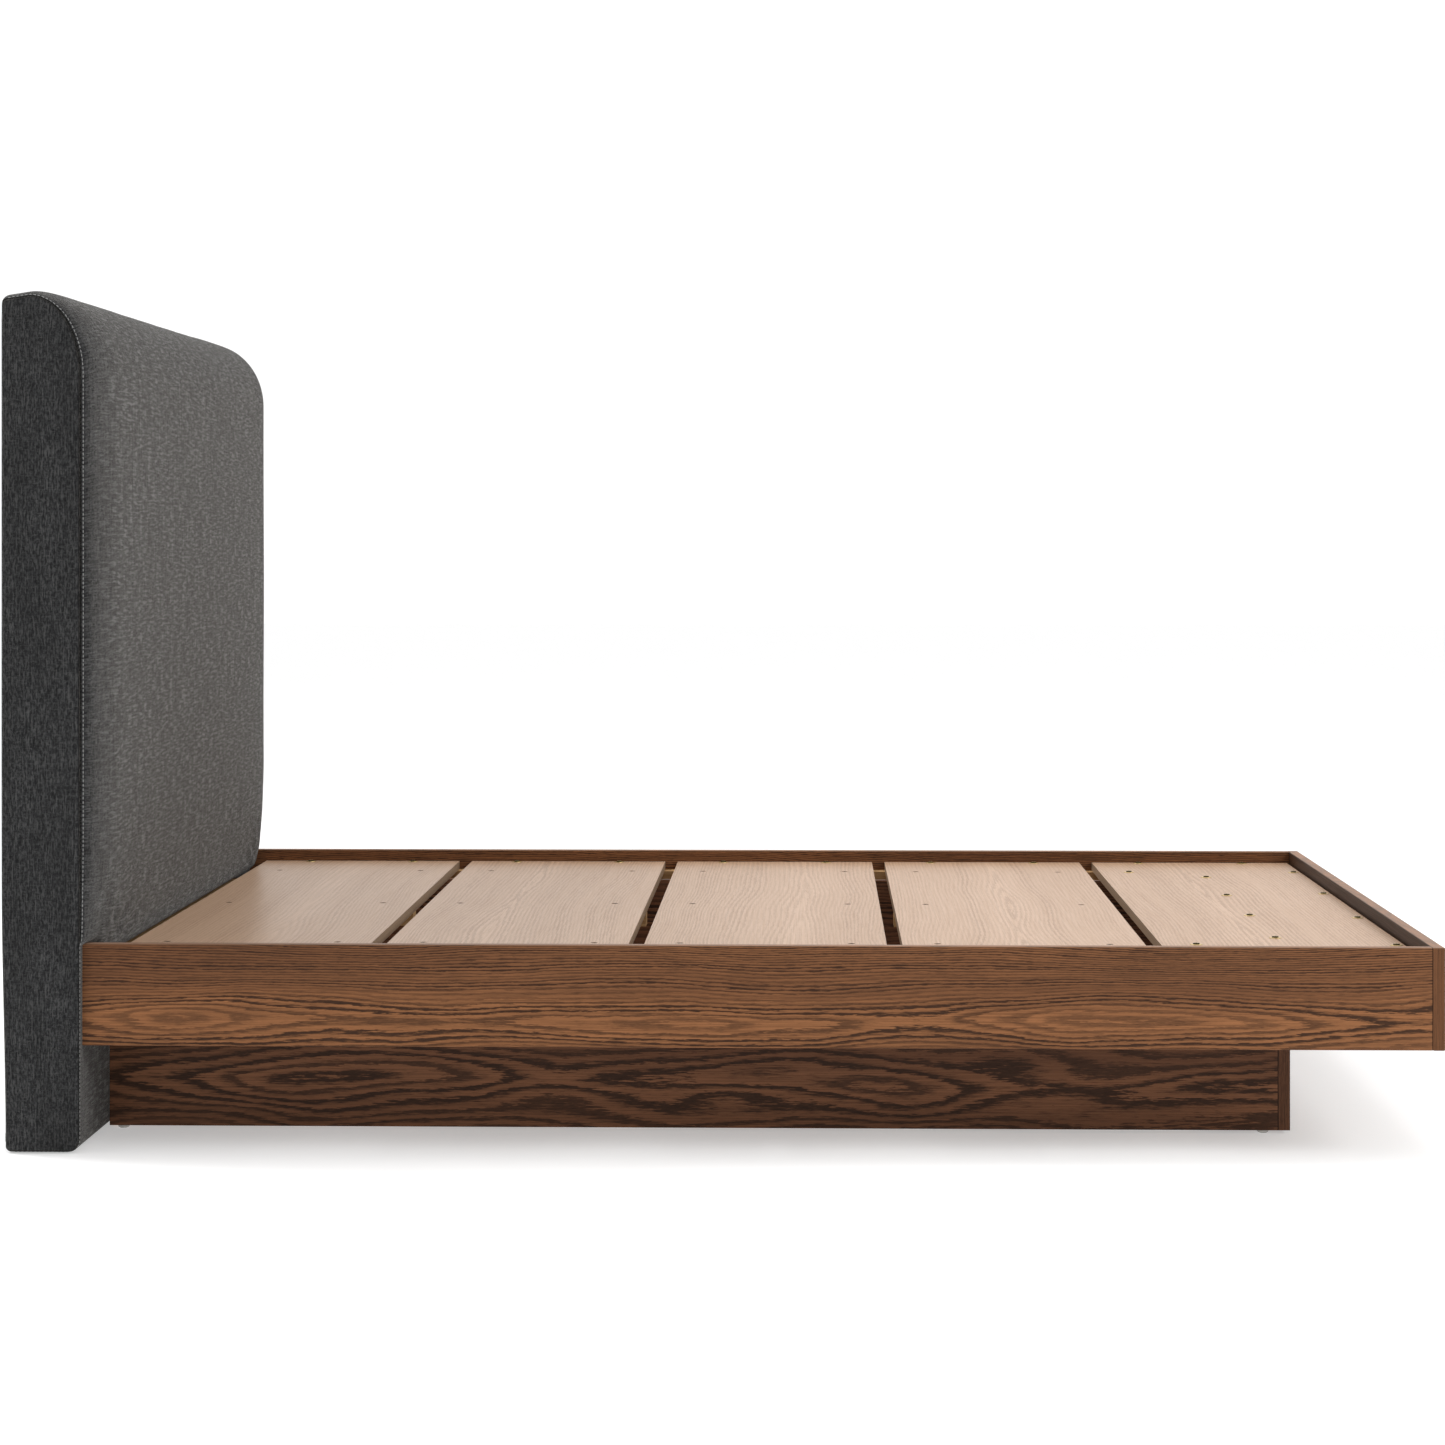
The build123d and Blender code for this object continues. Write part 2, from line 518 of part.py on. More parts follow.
# ---- levelling feet and their threaded inserts ----
corner_foot_places = [(side * plinth_line, y) for side in SIDES.values()
                      for y in (plinth_foot + FOOT_END_INSET, seam_y - FOOT_HEAD_INSET)]
feet = {
    "foot_left": corner_foot_places[0], "head_left": corner_foot_places[1],
    "foot_right": corner_foot_places[2], "head_right": corner_foot_places[3],
}
feet |= {f"centre_{number}": place for number, place in enumerate(leg_foot_places, start=1)}
insert_top = PLINTH_BOTTOM + INSERT_LENGTH
stem_top = PLINTH_BOTTOM + FOOT_STEM_LENGTH


def levelling_foot(x, y):
    """A domed pad moulded on a stem. The pad rests against the board that it levels."""
    pad = post(FOOT_PAD_RADIUS, x, y, 0, FOOT_PAD_HEIGHT)
    lower_rim = pad.edges().filter_by(GeomType.CIRCLE).sort_by(Axis.Z)[0]
    pad = fillet(lower_rim, FOOT_ROUNDING)
    return pad + post(FOOT_STEM, x, y, FOOT_PAD_HEIGHT - BEYOND, stem_top)


holders = ["plinth_side_left", "plinth_side_right"] + [f"centre_leg_{n}" for n in range(1, PANEL_COUNT)]
sockets = [post(INSERT_RADIUS, x, y, PLINTH_BOTTOM, insert_top) for x, y in feet.values()]
clearances = [post(FOOT_STEM + STEM_ROOM, x, y, insert_top, stem_top + BEYOND) for x, y in feet.values()]
for holder in holders:
    parts[holder] = parts[holder] - sockets - clearances
parts["leveller_inserts"] = group(
    post(INSERT_RADIUS, x, y, PLINTH_BOTTOM, insert_top)
    - post(FOOT_STEM + STEM_PLAY, x, y, PLINTH_BOTTOM - BEYOND, insert_top + BEYOND)
    for x, y in feet.values()
)
for name, (x, y) in feet.items():
    parts[f"levelling_foot_{name}"] = levelling_foot(x, y)

# ---- one file for each node ----
os.makedirs("parts", exist_ok=True)
for name, shape in parts.items():
    export_step(shape, f"parts/{name}.step")
print(len(parts), "nodes")
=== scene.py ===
"""A platform bed with an upholstered headboard, built around its CAD frame. Sizes are in metres."""
import math
import random

import bpy
import numpy as np
from mathutils import Matrix, Vector, noise


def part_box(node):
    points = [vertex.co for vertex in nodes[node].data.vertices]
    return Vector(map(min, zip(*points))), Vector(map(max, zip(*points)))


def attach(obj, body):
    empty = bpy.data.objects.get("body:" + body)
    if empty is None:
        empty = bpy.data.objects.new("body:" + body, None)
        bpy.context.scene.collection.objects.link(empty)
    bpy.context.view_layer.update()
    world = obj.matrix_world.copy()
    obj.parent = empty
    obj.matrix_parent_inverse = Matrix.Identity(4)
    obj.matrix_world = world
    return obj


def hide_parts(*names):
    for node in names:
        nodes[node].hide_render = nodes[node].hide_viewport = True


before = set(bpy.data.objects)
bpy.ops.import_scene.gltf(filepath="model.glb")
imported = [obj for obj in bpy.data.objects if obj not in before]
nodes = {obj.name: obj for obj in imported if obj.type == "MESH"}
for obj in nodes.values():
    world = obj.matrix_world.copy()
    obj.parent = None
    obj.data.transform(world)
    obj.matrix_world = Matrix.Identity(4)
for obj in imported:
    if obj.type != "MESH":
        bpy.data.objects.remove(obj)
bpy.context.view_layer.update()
scene = bpy.context.scene


# ---- places taken from the frame ----
def low(node):
    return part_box(node)[0]


def high(node):
    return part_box(node)[1]


side_half = high("headboard_side_cover_right").x      # the side panels' outer faces
cushion_half = high("headboard_front_cover").x
board_front = low("headboard_front_board").y
board_top = high("headboard_front_board").z
frame_half = high("headboard_stile_right").x
side_foam_inner = low("headboard_side_foam_right").x
headboard_back = high("headboard_back_cover").y
headboard_bottom = low("headboard_front_cover").z
seam_front = low("headboard_side_cover_right").y      # the side seam's plane
seam_top = high("headboard_side_cover_right").z
crown_front = seam_front - low("headboard_front_cover").y
crown_top = high("headboard_front_cover").z - seam_top
rail_top = high("side_rail_right").z
rail_inner = low("side_rail_right").x
deck_top = high("deck_panel_1").z
deck_bottom = low("deck_panel_1").z

# ---- the headboard's own shape ----
CORNER_DEPTH, CORNER_HEIGHT = 0.078, 0.1235   # the big rounded front-top corner at the side seam
TOP_FALL = 0.0055                             # how far the top falls from the corner to the back
EDGE_RADIUS, BOTTOM_RADIUS = 0.008, 0.018
CLOTH_FRAMES, CLOTH_CAP, CLOTH_ROOM = 12, 0.005, 0.003
CROWN_FADE, CROWN_FADE_TOP = 0.120, 0.050     # from the side seam to the crown's full depth and height
PULL_START = 0.50                             # the cushion is drawn in below this height
PULL_AT_DECK = 0.50                           # what is left of the crown at the deck
SEAM_DEPTH, SEAM_WIDTH = 0.0030, 0.0017
STITCH_INSET, STITCH_PITCH, STITCH_LENGTH, THREAD = 0.0052, 0.0066, 0.0048, 0.00065
BACK_TAPER, BACK_TAPER_TOP = 0.0065, 0.42     # the side padding is drawn in towards the floor
BACK_WRAP = 0.016                             # the side cloth goes round onto the back this far
WRAP_HEIGHT = 0.0128                          # and the front cloth round the bottom onto the back
LINING_TOP = 0.026                            # the back lining's edge below the headboard's top


# ---- camera ----
def add_camera():
    data = bpy.data.cameras.new("camera")
    data.lens, data.sensor_width = 85.9, 36.0
    data.shift_y = -0.1312
    data.clip_end = 100
    camera = bpy.data.objects.new("camera", data)
    camera.location = (-6.079, -0.140, 0.952)
    camera.rotation_euler = (math.pi / 2, 0, math.radians(1.491 - 90))
    scene.collection.objects.link(camera)
    scene.camera = camera


add_camera()


# ---- materials ----
class Shader:
    """A material's node tree, with short calls for the nodes that the materials below use."""

    def __init__(self, name):
        self.material = bpy.data.materials.new(name)
        self.material.use_nodes = True
        self.tree = self.material.node_tree
        self.tree.nodes.clear()
        self.surface = self.node("ShaderNodeBsdfPrincipled")
        output = self.node("ShaderNodeOutputMaterial")
        self.tree.links.new(self.surface.outputs[0], output.inputs["Surface"])

    def node(self, kind, **settings):
        made = self.tree.nodes.new(kind)
        for key, value in settings.items():
            setattr(made, key, value)
        return made

    def put(self, socket, value):
        """Links another node's output, or sets the number or colour."""
        if isinstance(value, bpy.types.NodeSocket):
            self.tree.links.new(value, socket)
        elif socket.type == "RGBA":
            socket.default_value = (*value, 1.0)
        else:
            socket.default_value = value

    def set(self, **values):
        for key, value in values.items():
            self.put(self.surface.inputs[key.replace("_", " ")], value)

    def math(self, operation, a, b=0.0, clamp=False):
        made = self.node("ShaderNodeMath", operation=operation, use_clamp=clamp)
        self.put(made.inputs[0], a)
        self.put(made.inputs[1], b)
        return made.outputs[0]

    def scaled(self, vector, scale, move=(0, 0, 0)):
        made = self.node("ShaderNodeMapping")
        self.put(made.inputs["Vector"], vector)
        made.inputs["Scale"].default_value = scale
        made.inputs["Location"].default_value = move
        return made.outputs[0]

    def noise(self, vector, scale, detail=2.0, roughness=0.5, move=(0, 0, 0)):
        """Smooth noise, with scale in features a metre along each axis."""
        made = self.node("ShaderNodeTexNoise")
        self.put(made.inputs["Vector"], self.scaled(vector, scale, move))
        made.inputs["Scale"].default_value = 1.0
        made.inputs["Detail"].default_value = detail
        made.inputs["Roughness"].default_value = roughness
        return made.outputs["Fac"]

    def between(self, value, low_value, high_value, to_low=0.0, to_high=1.0, smooth=False):
        made = self.node("ShaderNodeMapRange", clamp=True)
        if smooth:
            made.interpolation_type = "SMOOTHSTEP"
        for place, number in enumerate((value, low_value, high_value, to_low, to_high)):
            self.put(made.inputs[place], number)
        return made.outputs[0]

    def ramp(self, factor, stops):
        made = self.node("ShaderNodeValToRGB")
        elements = made.color_ramp.elements
        while len(elements) < len(stops):
            elements.new(1.0)
        for element, (place, colour) in zip(elements, stops):
            element.position = place
            element.color = (*colour, 1.0) if hasattr(colour, "__len__") else (colour,) * 3 + (1.0,)
        self.put(made.inputs[0], factor)
        return made.outputs[0]

    def mix(self, factor, a, b, blend="MIX"):
        made = self.node("ShaderNodeMix", data_type="RGBA", blend_type=blend)
        self.put(made.inputs[0], factor)
        self.put(made.inputs[6], a)
        self.put(made.inputs[7], b)
        return made.outputs[2]

    def bump(self, height, distance, strength=1.0, under=None):
        made = self.node("ShaderNodeBump")
        made.inputs["Strength"].default_value = strength
        made.inputs["Distance"].default_value = distance
        self.put(made.inputs["Height"], height)
        if under is not None:
            self.put(made.inputs["Normal"], under)
        return made.outputs[0]

    def place(self):
        return self.node("ShaderNodeTexCoord").outputs["Object"]

    def axes(self, vector):
        return self.node_outputs("ShaderNodeSeparateXYZ", vector)

    def node_outputs(self, kind, vector):
        made = self.node(kind)
        self.put(made.inputs[0], vector)
        return list(made.outputs)

    def vector(self, x, y, z):
        made = self.node("ShaderNodeCombineXYZ")
        for place, value in enumerate((x, y, z)):
            self.put(made.inputs[place], value)
        return made.outputs[0]

    def facing(self, axis):
        """1 on the faces whose normal lies along the object's axis, either way, and 0 on the others."""
        normal = self.node("ShaderNodeTexCoord").outputs["Normal"]
        size = self.math("ABSOLUTE", self.axes(normal)[axis])
        return self.between(size, 0.70, 0.72)


def wood(name, along, across, heart, seed, colours, rings=70.0, growth=1100.0, figure=11.0,
         long_scale=1.9, cross_scale=8.0, contrast=1.0, roughness=0.5, end_axis=None, end_grain=1.0,
         edge_light=None, joint=None):
    """Sliced wood. along and across are the board's axes: the growth rings are straight lines along the
    board far from the heart, and open into arches and eyes near it."""
    bright, middle, dark = colours
    s = Shader(name)
    place = s.place()
    xyz = s.axes(place)
    thick = 3 - along - across
    long_way, cross_way, thick_way = xyz[along], xyz[across], xyz[thick]
    if end_axis is not None:
        # The ends are covered with a strip of veneer whose grain runs up and down.
        end = s.facing(end_axis)
        turned = [s.math("ADD", xyz[across], 0.31 * end_grain), s.math("ADD", xyz[thick], 0.11), xyz[along]]
        picked = []
        for plain, other in zip((long_way, cross_way, thick_way), turned):
            step = s.math("MULTIPLY", s.math("SUBTRACT", other, plain), end)
            picked.append(s.math("ADD", plain, step))
        long_way, cross_way, thick_way = picked
    grain = s.vector(long_way, cross_way, thick_way)
    shift = (seed * 3.7, seed * 1.3, seed * 0.9)

    wander = s.math("MULTIPLY", s.math("SUBTRACT", s.noise(grain, (1.1, 0.6, 3.0), 1.0, move=shift), 0.5), 0.05)
    away = s.math("ADD", s.math("SUBTRACT", cross_way, heart), wander)
    squared = s.math("MULTIPLY", away, away)
    distance = s.math("SQRT", s.math("ADD", squared, 0.00002))
    count = s.math("ADD", s.math("MULTIPLY", distance, rings), s.math("MULTIPLY", squared, growth))
    swirl = s.math("SUBTRACT", s.noise(grain, (long_scale, cross_scale, 16.0), 2.0, 0.42, shift), 0.5)
    count = s.math("ADD", count, s.math("MULTIPLY", swirl, figure))
    ragged = s.math("SUBTRACT", s.noise(grain, (30.0, 330.0, 330.0), 3.0, 0.7, shift), 0.5)
    count = s.math("ADD", count, s.math("MULTIPLY", ragged, 1.3))
    phase = s.math("FRACT", s.math("ADD", count, 50.0))
    pore_band = s.ramp(phase, [(0.0, 0.8), (0.08, 1.0), (0.30, 0.95), (0.46, 0.35), (0.64, 0.0), (0.92, 0.0), (1.0, 0.8)])
    # Not every ring is as dark as the next.
    ring_number = s.math("FLOOR", s.math("ADD", count, 50.0))
    ring_depth = s.noise(s.vector(ring_number, 0.0, 0.0), (0.37, 1, 1), 0.0, move=shift)
    ring_depth = s.between(ring_depth, 0.32, 0.62, 0.45, 1.0)
    band = s.math("MULTIPLY", s.math("MULTIPLY", pore_band, ring_depth), contrast)

    fibre = s.noise(grain, (5.0, 520.0, 520.0), 3.0, 0.6, shift)
    pores = s.between(s.noise(grain, (85.0, 1250.0, 1250.0), 1.0, 0.5, shift), 0.56, 0.70)
    pores = s.math("MULTIPLY", pores, s.between(band, 0.0, 0.7, 0.22, 1.0))
    broad = s.noise(grain, (0.9, 5.0, 5.0), 2.0, 0.5, (shift[1], shift[0], 0))
    # The wide rings near the heart are brighter than the close ones beside them.
    near_heart = s.between(distance, 0.050, 0.006, 0.0, 0.75)
    light = s.math("ADD", s.between(broad, 0.38, 0.66, 0.0, 0.6), near_heart, clamp=True)
    colour = s.mix(light, middle, bright)
    colour = s.mix(s.math("MULTIPLY", s.between(fibre, 0.36, 0.66), 0.42 * contrast), colour, dark)
    colour = s.mix(s.math("MULTIPLY", band, 0.94), colour, dark)
    colour = s.mix(s.math("MULTIPLY", pores, 0.55 * contrast), colour, [0.45 * c for c in dark])
    if edge_light is not None:
        # The top face and a thin band along the top of the sides are painted a little lighter.
        level, reach, tint = edge_light
        top_band = s.between(xyz[2], level - reach, level)
        colour = s.mix(s.math("MULTIPLY", top_band, 0.55), colour, tint)
    if joint is not None:
        # A thin dark line where the next board butts against this one.
        axis, position = joint
        gap = s.math("ABSOLUTE", s.math("SUBTRACT", xyz[axis], position))
        colour = s.mix(s.between(gap, 0.0011, 0.0005, 0.0, 0.8), colour, [0.3 * c for c in dark])
    s.set(Base_Color=colour, Specular_IOR_Level=0.10)
    s.set(Roughness=s.math("ADD", s.math("MULTIPLY", fibre, 0.16), roughness - 0.08))
    height = s.math("SUBTRACT", s.math("MULTIPLY", fibre, 0.35), s.math("MULTIPLY", pores, 0.6))
    height = s.math("SUBTRACT", height, s.math("MULTIPLY", band, 0.18))
    s.set(Normal=s.bump(height, 0.00016, 0.5))
    return s


STAIN = ((0.330, 0.140, 0.058), (0.195, 0.082, 0.036), (0.036, 0.018, 0.011))
PLINTH_STAIN = ((0.270, 0.120, 0.060), (0.175, 0.077, 0.040), (0.034, 0.018, 0.012))
PALE = ((0.480, 0.325, 0.222), (0.425, 0.280, 0.185), (0.250, 0.150, 0.090))
PINE = ((0.560, 0.370, 0.190), (0.500, 0.310, 0.150), (0.330, 0.180, 0.075))
EDGE_TINT = (0.30, 0.19, 0.13)


def veneered_panel(name, heart, seed):
    """A pale veneered panel whose edges show the plies."""
    s = wood(name, 0, 1, heart, seed, PALE, rings=105.0, growth=160.0, figure=14.0, long_scale=0.8,
             cross_scale=3.0, contrast=0.62, roughness=0.36)
    veneer = s.surface.inputs["Base Color"].links[0].from_socket
    place = s.place()
    ply = s.math("FRACT", s.math("MULTIPLY", s.axes(place)[2], 620.0))
    core = s.mix(s.between(ply, 0.42, 0.58), (0.36, 0.26, 0.18), (0.22, 0.145, 0.095))
    speck = s.noise(place, (300.0, 300.0, 900.0), 3.0, 0.6)
    core = s.mix(s.between(speck, 0.35, 0.7, 0.0, 0.5), core, (0.12, 0.075, 0.045))
    s.set(Base_Color=s.mix(s.facing(2), core, veneer))
    return s


def fabric(name, warp_colour, weft_colour, fleck_colour, sheen, long_yarn_and_sheen):
    """Woven melange cloth. Its map is the cloth laid flat, in metres, with the warp along V. long_yarn_and_sheen is
    how strongly the yarn's shade changes over a few centimetres; this pattern also lightens the cloth on average,
    which is painted sheen."""
    s = Shader(name)
    flat = s.node("ShaderNodeUVMap", uv_map="cloth").outputs[0]
    u, v, _ = s.axes(flat)
    pitch = math.pi / 0.00140
    crossing = s.math("MULTIPLY", s.math("SINE", s.math("MULTIPLY", u, pitch)),
                      s.math("SINE", s.math("MULTIPLY", v, pitch)))
    on_top = s.between(crossing, -0.3, 0.3)
    # Each thread is spun from light and dark fibres, so its shade changes along it.
    warp_shade = s.noise(flat, (640.0, 75.0, 1.0), 2.0, 0.6)
    weft_shade = s.noise(flat, (75.0, 640.0, 1.0), 2.0, 0.6, (3.1, 7.7, 0))
    warp_slub = s.noise(flat, (370.0, 40.0, 1.0), 3.0, 0.62, (1.7, 0.4, 0))
    weft_slub = s.noise(flat, (90.0, 430.0, 1.0), 2.0, 0.6, (8.7, 2.4, 0))
    speck = s.noise(flat, (340.0, 150.0, 1.0), 3.0, 0.72, (5.3, 2.1, 0))
    drift = s.noise(flat, (26.0, 5.0, 1.0), 3.0, 0.55, (0.6, 4.4, 0))
    dark = [0.30 * c for c in warp_colour]
    warp = s.mix(s.between(warp_shade, 0.36, 0.64), dark, weft_colour)
    weft = s.mix(s.between(weft_shade, 0.36, 0.64), weft_colour, warp_colour)
    colour = s.mix(on_top, weft, warp)
    colour = s.mix(s.between(warp_slub, 0.50, 0.66, 0.0, 0.85), colour, fleck_colour)
    colour = s.mix(s.between(warp_slub, 0.46, 0.34, 0.0, 0.8), colour, dark)
    colour = s.mix(s.between(weft_slub, 0.54, 0.72, 0.0, 0.6), colour, fleck_colour)
    colour = s.mix(s.between(speck, 0.50, 0.70, 0.0, 0.8), colour, fleck_colour)
    colour = s.mix(s.between(speck, 0.48, 0.32, 0.0, 0.9), colour, dark)
    colour = s.mix(s.between(drift, 0.36, 0.64, 0.30, 0.0), colour, dark)
    from_seam = s.axes(s.node("ShaderNodeUVMap", uv_map="seam").outputs[0])[0]
    # Yarn shade and painted sheen: the long pattern lightens the cloth on average, and it is weaker near the seams.
    long_yarn_and_sheen = s.between(from_seam, 0.02, 0.11, 0.15 * long_yarn_and_sheen, long_yarn_and_sheen)
    yarn = s.noise(flat, (230.0, 26.0, 1.0), 3.0, 0.62, (4.4, 8.8, 0))
    colour = s.mix(s.between(yarn, 0.50, 0.62, 0.0, long_yarn_and_sheen), colour, [1.5 * c for c in fleck_colour])
    colour = s.mix(s.between(yarn, 0.50, 0.38, 0.0, long_yarn_and_sheen), colour, dark)
    across_yarn = s.noise(flat, (14.0, 62.0, 1.0), 2.0, 0.5, (9.4, 1.8, 0))
    colour = s.mix(s.between(across_yarn, 0.40, 0.60, s.math("MULTIPLY", long_yarn_and_sheen, 0.55), 0.0), colour, dark)
    # Painted shade along the seams, where the groove lies in shadow. The second map holds the distance from the
    # seam.
    colour = s.mix(s.between(from_seam, 0.0014, 0.0036, 0.9, 0.0), colour, (0.004, 0.004, 0.004))
    s.set(Base_Color=colour, Roughness=0.95, Specular_IOR_Level=0.15)
    # The loose fibres catch light at a low angle.
    s.set(Sheen_Weight=sheen, Sheen_Roughness=0.42, Sheen_Tint=(1.0, 0.95, 0.88))
    height = s.math("ADD", s.math("MULTIPLY", s.math("ABSOLUTE", crossing), 0.5), speck)
    height = s.math("ADD", height, s.math("MULTIPLY", s.math("ADD", warp_slub, weft_slub), 0.8))
    # Uneven yarn leaves low tufts, which show at a low angle.
    tufts = s.noise(flat, (230.0, 62.0, 1.0), 2.0, 0.62, (2.9, 6.1, 0))
    streaks = s.noise(flat, (22.0, 90.0, 1.0), 2.0, 0.5, (7.7, 0.9, 0))
    height = s.math("ADD", height, s.math("ADD", s.math("MULTIPLY", tufts, 4.5), s.math("MULTIPLY", streaks, 2.5)))
    s.set(Normal=s.bump(height, 0.0009, 1.0))
    return s


def thread(name):
    """Twisted sewing thread."""
    s = Shader(name)
    place = s.place()
    x, y, z = s.axes(place)
    twist = s.math("SINE", s.math("MULTIPLY", s.math("ADD", s.math("ADD", x, y), z), 2 * math.pi / 0.0007))
    fuzz = s.noise(place, (4000.0, 4000.0, 1500.0), 2.0, 0.6)
    s.set(Base_Color=s.mix(s.between(twist, -0.6, 0.8), (0.20, 0.20, 0.20), (0.42, 0.42, 0.41)),
          Roughness=s.between(fuzz, 0.3, 0.7, 0.55, 0.8), Sheen_Weight=0.2)
    s.set(Normal=s.bump(s.math("ADD", twist, fuzz), 0.0001, 0.7))
    return s


def lining(name):
    """Thin black non-woven cloth with a faint pressed pattern of dots."""
    s = Shader(name)
    flat = s.node("ShaderNodeUVMap", uv_map="cloth").outputs[0]
    u, v, _ = s.axes(flat)
    pitch = 2 * math.pi / 0.0032
    dots = s.math("MULTIPLY", s.math("SINE", s.math("MULTIPLY", s.math("ADD", u, v), pitch)),
                  s.math("SINE", s.math("MULTIPLY", s.math("SUBTRACT", u, v), pitch)))
    fibres = s.noise(flat, (900.0, 900.0, 1.0), 4.0, 0.7)
    cloud = s.noise(flat, (14.0, 14.0, 1.0), 3.0, 0.6)
    colour = s.mix(s.between(fibres, 0.35, 0.7), (0.010, 0.010, 0.011), (0.034, 0.034, 0.036))
    colour = s.mix(s.between(cloud, 0.35, 0.65, 0.0, 0.5), colour, (0.040, 0.039, 0.038))
    colour = s.mix(s.between(dots, 0.5, 0.8, 0.0, 0.5), colour, (0.008, 0.008, 0.009))
    s.set(Base_Color=colour, Roughness=0.86, Specular_IOR_Level=0.3, Sheen_Weight=0.15)
    s.set(Normal=s.bump(s.math("SUBTRACT", fibres, s.between(dots, 0.3, 0.8)), 0.0003, 0.8))
    return s


def metal(name, colour, worn, roughness=0.34, shade_band=None):
    """Plated steel with faint stains and small scratches, and painted shade between two heights."""
    s = Shader(name)
    place = s.place()
    stain = s.noise(place, (160.0, 160.0, 160.0), 4.0, 0.65)
    scratch = s.noise(place, (2600.0, 240.0, 700.0), 2.0, 0.6)
    tone = s.mix(s.between(stain, 0.38, 0.66), colour, worn)
    if shade_band is not None:
        bottom, top, shade_colour = shade_band
        # Painted shade: the band between the two heights is darkened, as the shadow on a screw head's flange.
        up = s.axes(place)[2]
        inside = s.math("MULTIPLY", s.between(up, bottom, bottom + 0.0003), s.between(up, top, top - 0.0003))
        tone = s.mix(inside, tone, shade_colour)
    s.set(Base_Color=tone, Metallic=1.0)
    s.set(Roughness=s.between(scratch, 0.3, 0.7, roughness - 0.08, roughness + 0.14))
    s.set(Normal=s.bump(s.math("ADD", stain, scratch), 0.00008, 0.6))
    return s


def nylon(name, colour, worn, stem=None):
    """Moulded nylon, scuffed low down. A stem above the given height is plated steel."""
    s = Shader(name)
    place = s.place()
    grain = s.noise(place, (1500.0, 1500.0, 1500.0), 3.0, 0.6)
    cloud = s.noise(place, (180.0, 180.0, 180.0), 3.0, 0.6)
    up = s.axes(place)[2]
    scuff = s.math("MULTIPLY", s.between(up, 0.003, 0.0), s.between(cloud, 0.4, 0.6))
    body = s.mix(scuff, s.mix(cloud, colour, [0.86 * c for c in colour]), worn)
    rough = s.between(grain, 0.3, 0.7, 0.42, 0.58)
    if stem is not None:
        steel = s.between(up, stem, stem + 0.0004)
        body = s.mix(steel, body, (0.56, 0.55, 0.52))
        rough = s.math("SUBTRACT", rough, s.math("MULTIPLY", steel, 0.18))
        s.set(Metallic=steel)
    s.set(Base_Color=body, Roughness=rough)
    s.set(Normal=s.bump(grain, 0.0001, 0.5))
    return s


def plywood(name):
    s = wood(name, 0, 2, 0.6, 9.1, PINE, rings=22.0, growth=20.0, figure=22.0, long_scale=1.3,
             cross_scale=3.0, contrast=0.6, roughness=0.62)
    return s


def paint(object_or_name, shader):
    o = nodes[object_or_name] if isinstance(object_or_name, str) else object_or_name
    o.data.materials.clear()
    o.data.materials.append(shader.material)


rail_edge = (rail_top, 0.0022, EDGE_TINT)
rail_joint = (1, low("side_rail_left").y)
plinth_joint = (1, low("plinth_side_left").y)
for number, side in enumerate(("left", "right")):
    paint(f"side_rail_{side}", wood(f"ash_rail_{side}", 1, 2, 0.203, 1.0 + 2.3 * number, STAIN,
                                    edge_light=rail_edge, joint=rail_joint))
    paint(f"plinth_side_{side}", wood(f"ash_plinth_{side}", 1, 2, 0.078, 4.0 + 1.7 * number, PLINTH_STAIN,
                                      rings=46.0, growth=230.0, figure=13.0, long_scale=1.6,
                                      cross_scale=7.0, joint=plinth_joint))
paint("foot_rail", wood("ash_foot_rail", 0, 2, 0.215, 7.3, STAIN, end_axis=0, edge_light=rail_edge,
                        joint=rail_joint))
paint("plinth_foot_board", wood("ash_plinth_foot", 0, 2, 0.09, 8.2, PLINTH_STAIN, rings=46.0, growth=230.0,
                                figure=12.0, end_axis=0, end_grain=2.0, joint=plinth_joint))
for number in range(1, 6):
    panel = f"deck_panel_{number}"
    middle = (low(panel).y + high(panel).y) / 2
    paint(panel, veneered_panel(f"veneer_panel_{number}", middle - 0.06 + 0.05 * (number % 3), 1.0 + 0.77 * number))

pine_along_y = wood("pine_along_y", 1, 0, 0.0, 3.3, PINE, rings=120.0, growth=200.0, contrast=0.75,
                    roughness=0.6)
pine_along_x = wood("pine_along_x", 0, 1, 0.93, 5.9, PINE, rings=120.0, growth=200.0, contrast=0.75,
                    roughness=0.6)
pine_upright = wood("pine_upright", 2, 0, 0.0, 6.4, PINE, rings=110.0, growth=100.0, contrast=0.75,
                    roughness=0.6)
pieces_of_pine = {
    pine_along_y: ["cleat_left", "cleat_right", "rail_dowels", "plinth_dowels"]
                  + [f"batten_{n}" for n in range(1, 5)],
    pine_along_x: ["cleat_foot", "plinth_head_board", "headboard_top_rail", "headboard_middle_rail",
                   "headboard_bottom_rail"],
    pine_upright: ["rail_corner_blocks", "plinth_corner_blocks", "headboard_stile_left",
                   "headboard_stile_right", "headboard_centre_stile"]
                  + [f"centre_leg_{n}" for n in range(1, 5)],
}
for shader, names in pieces_of_pine.items():
    for name in names:
        paint(name, shader)
paint("headboard_front_board", plywood("plywood_board"))

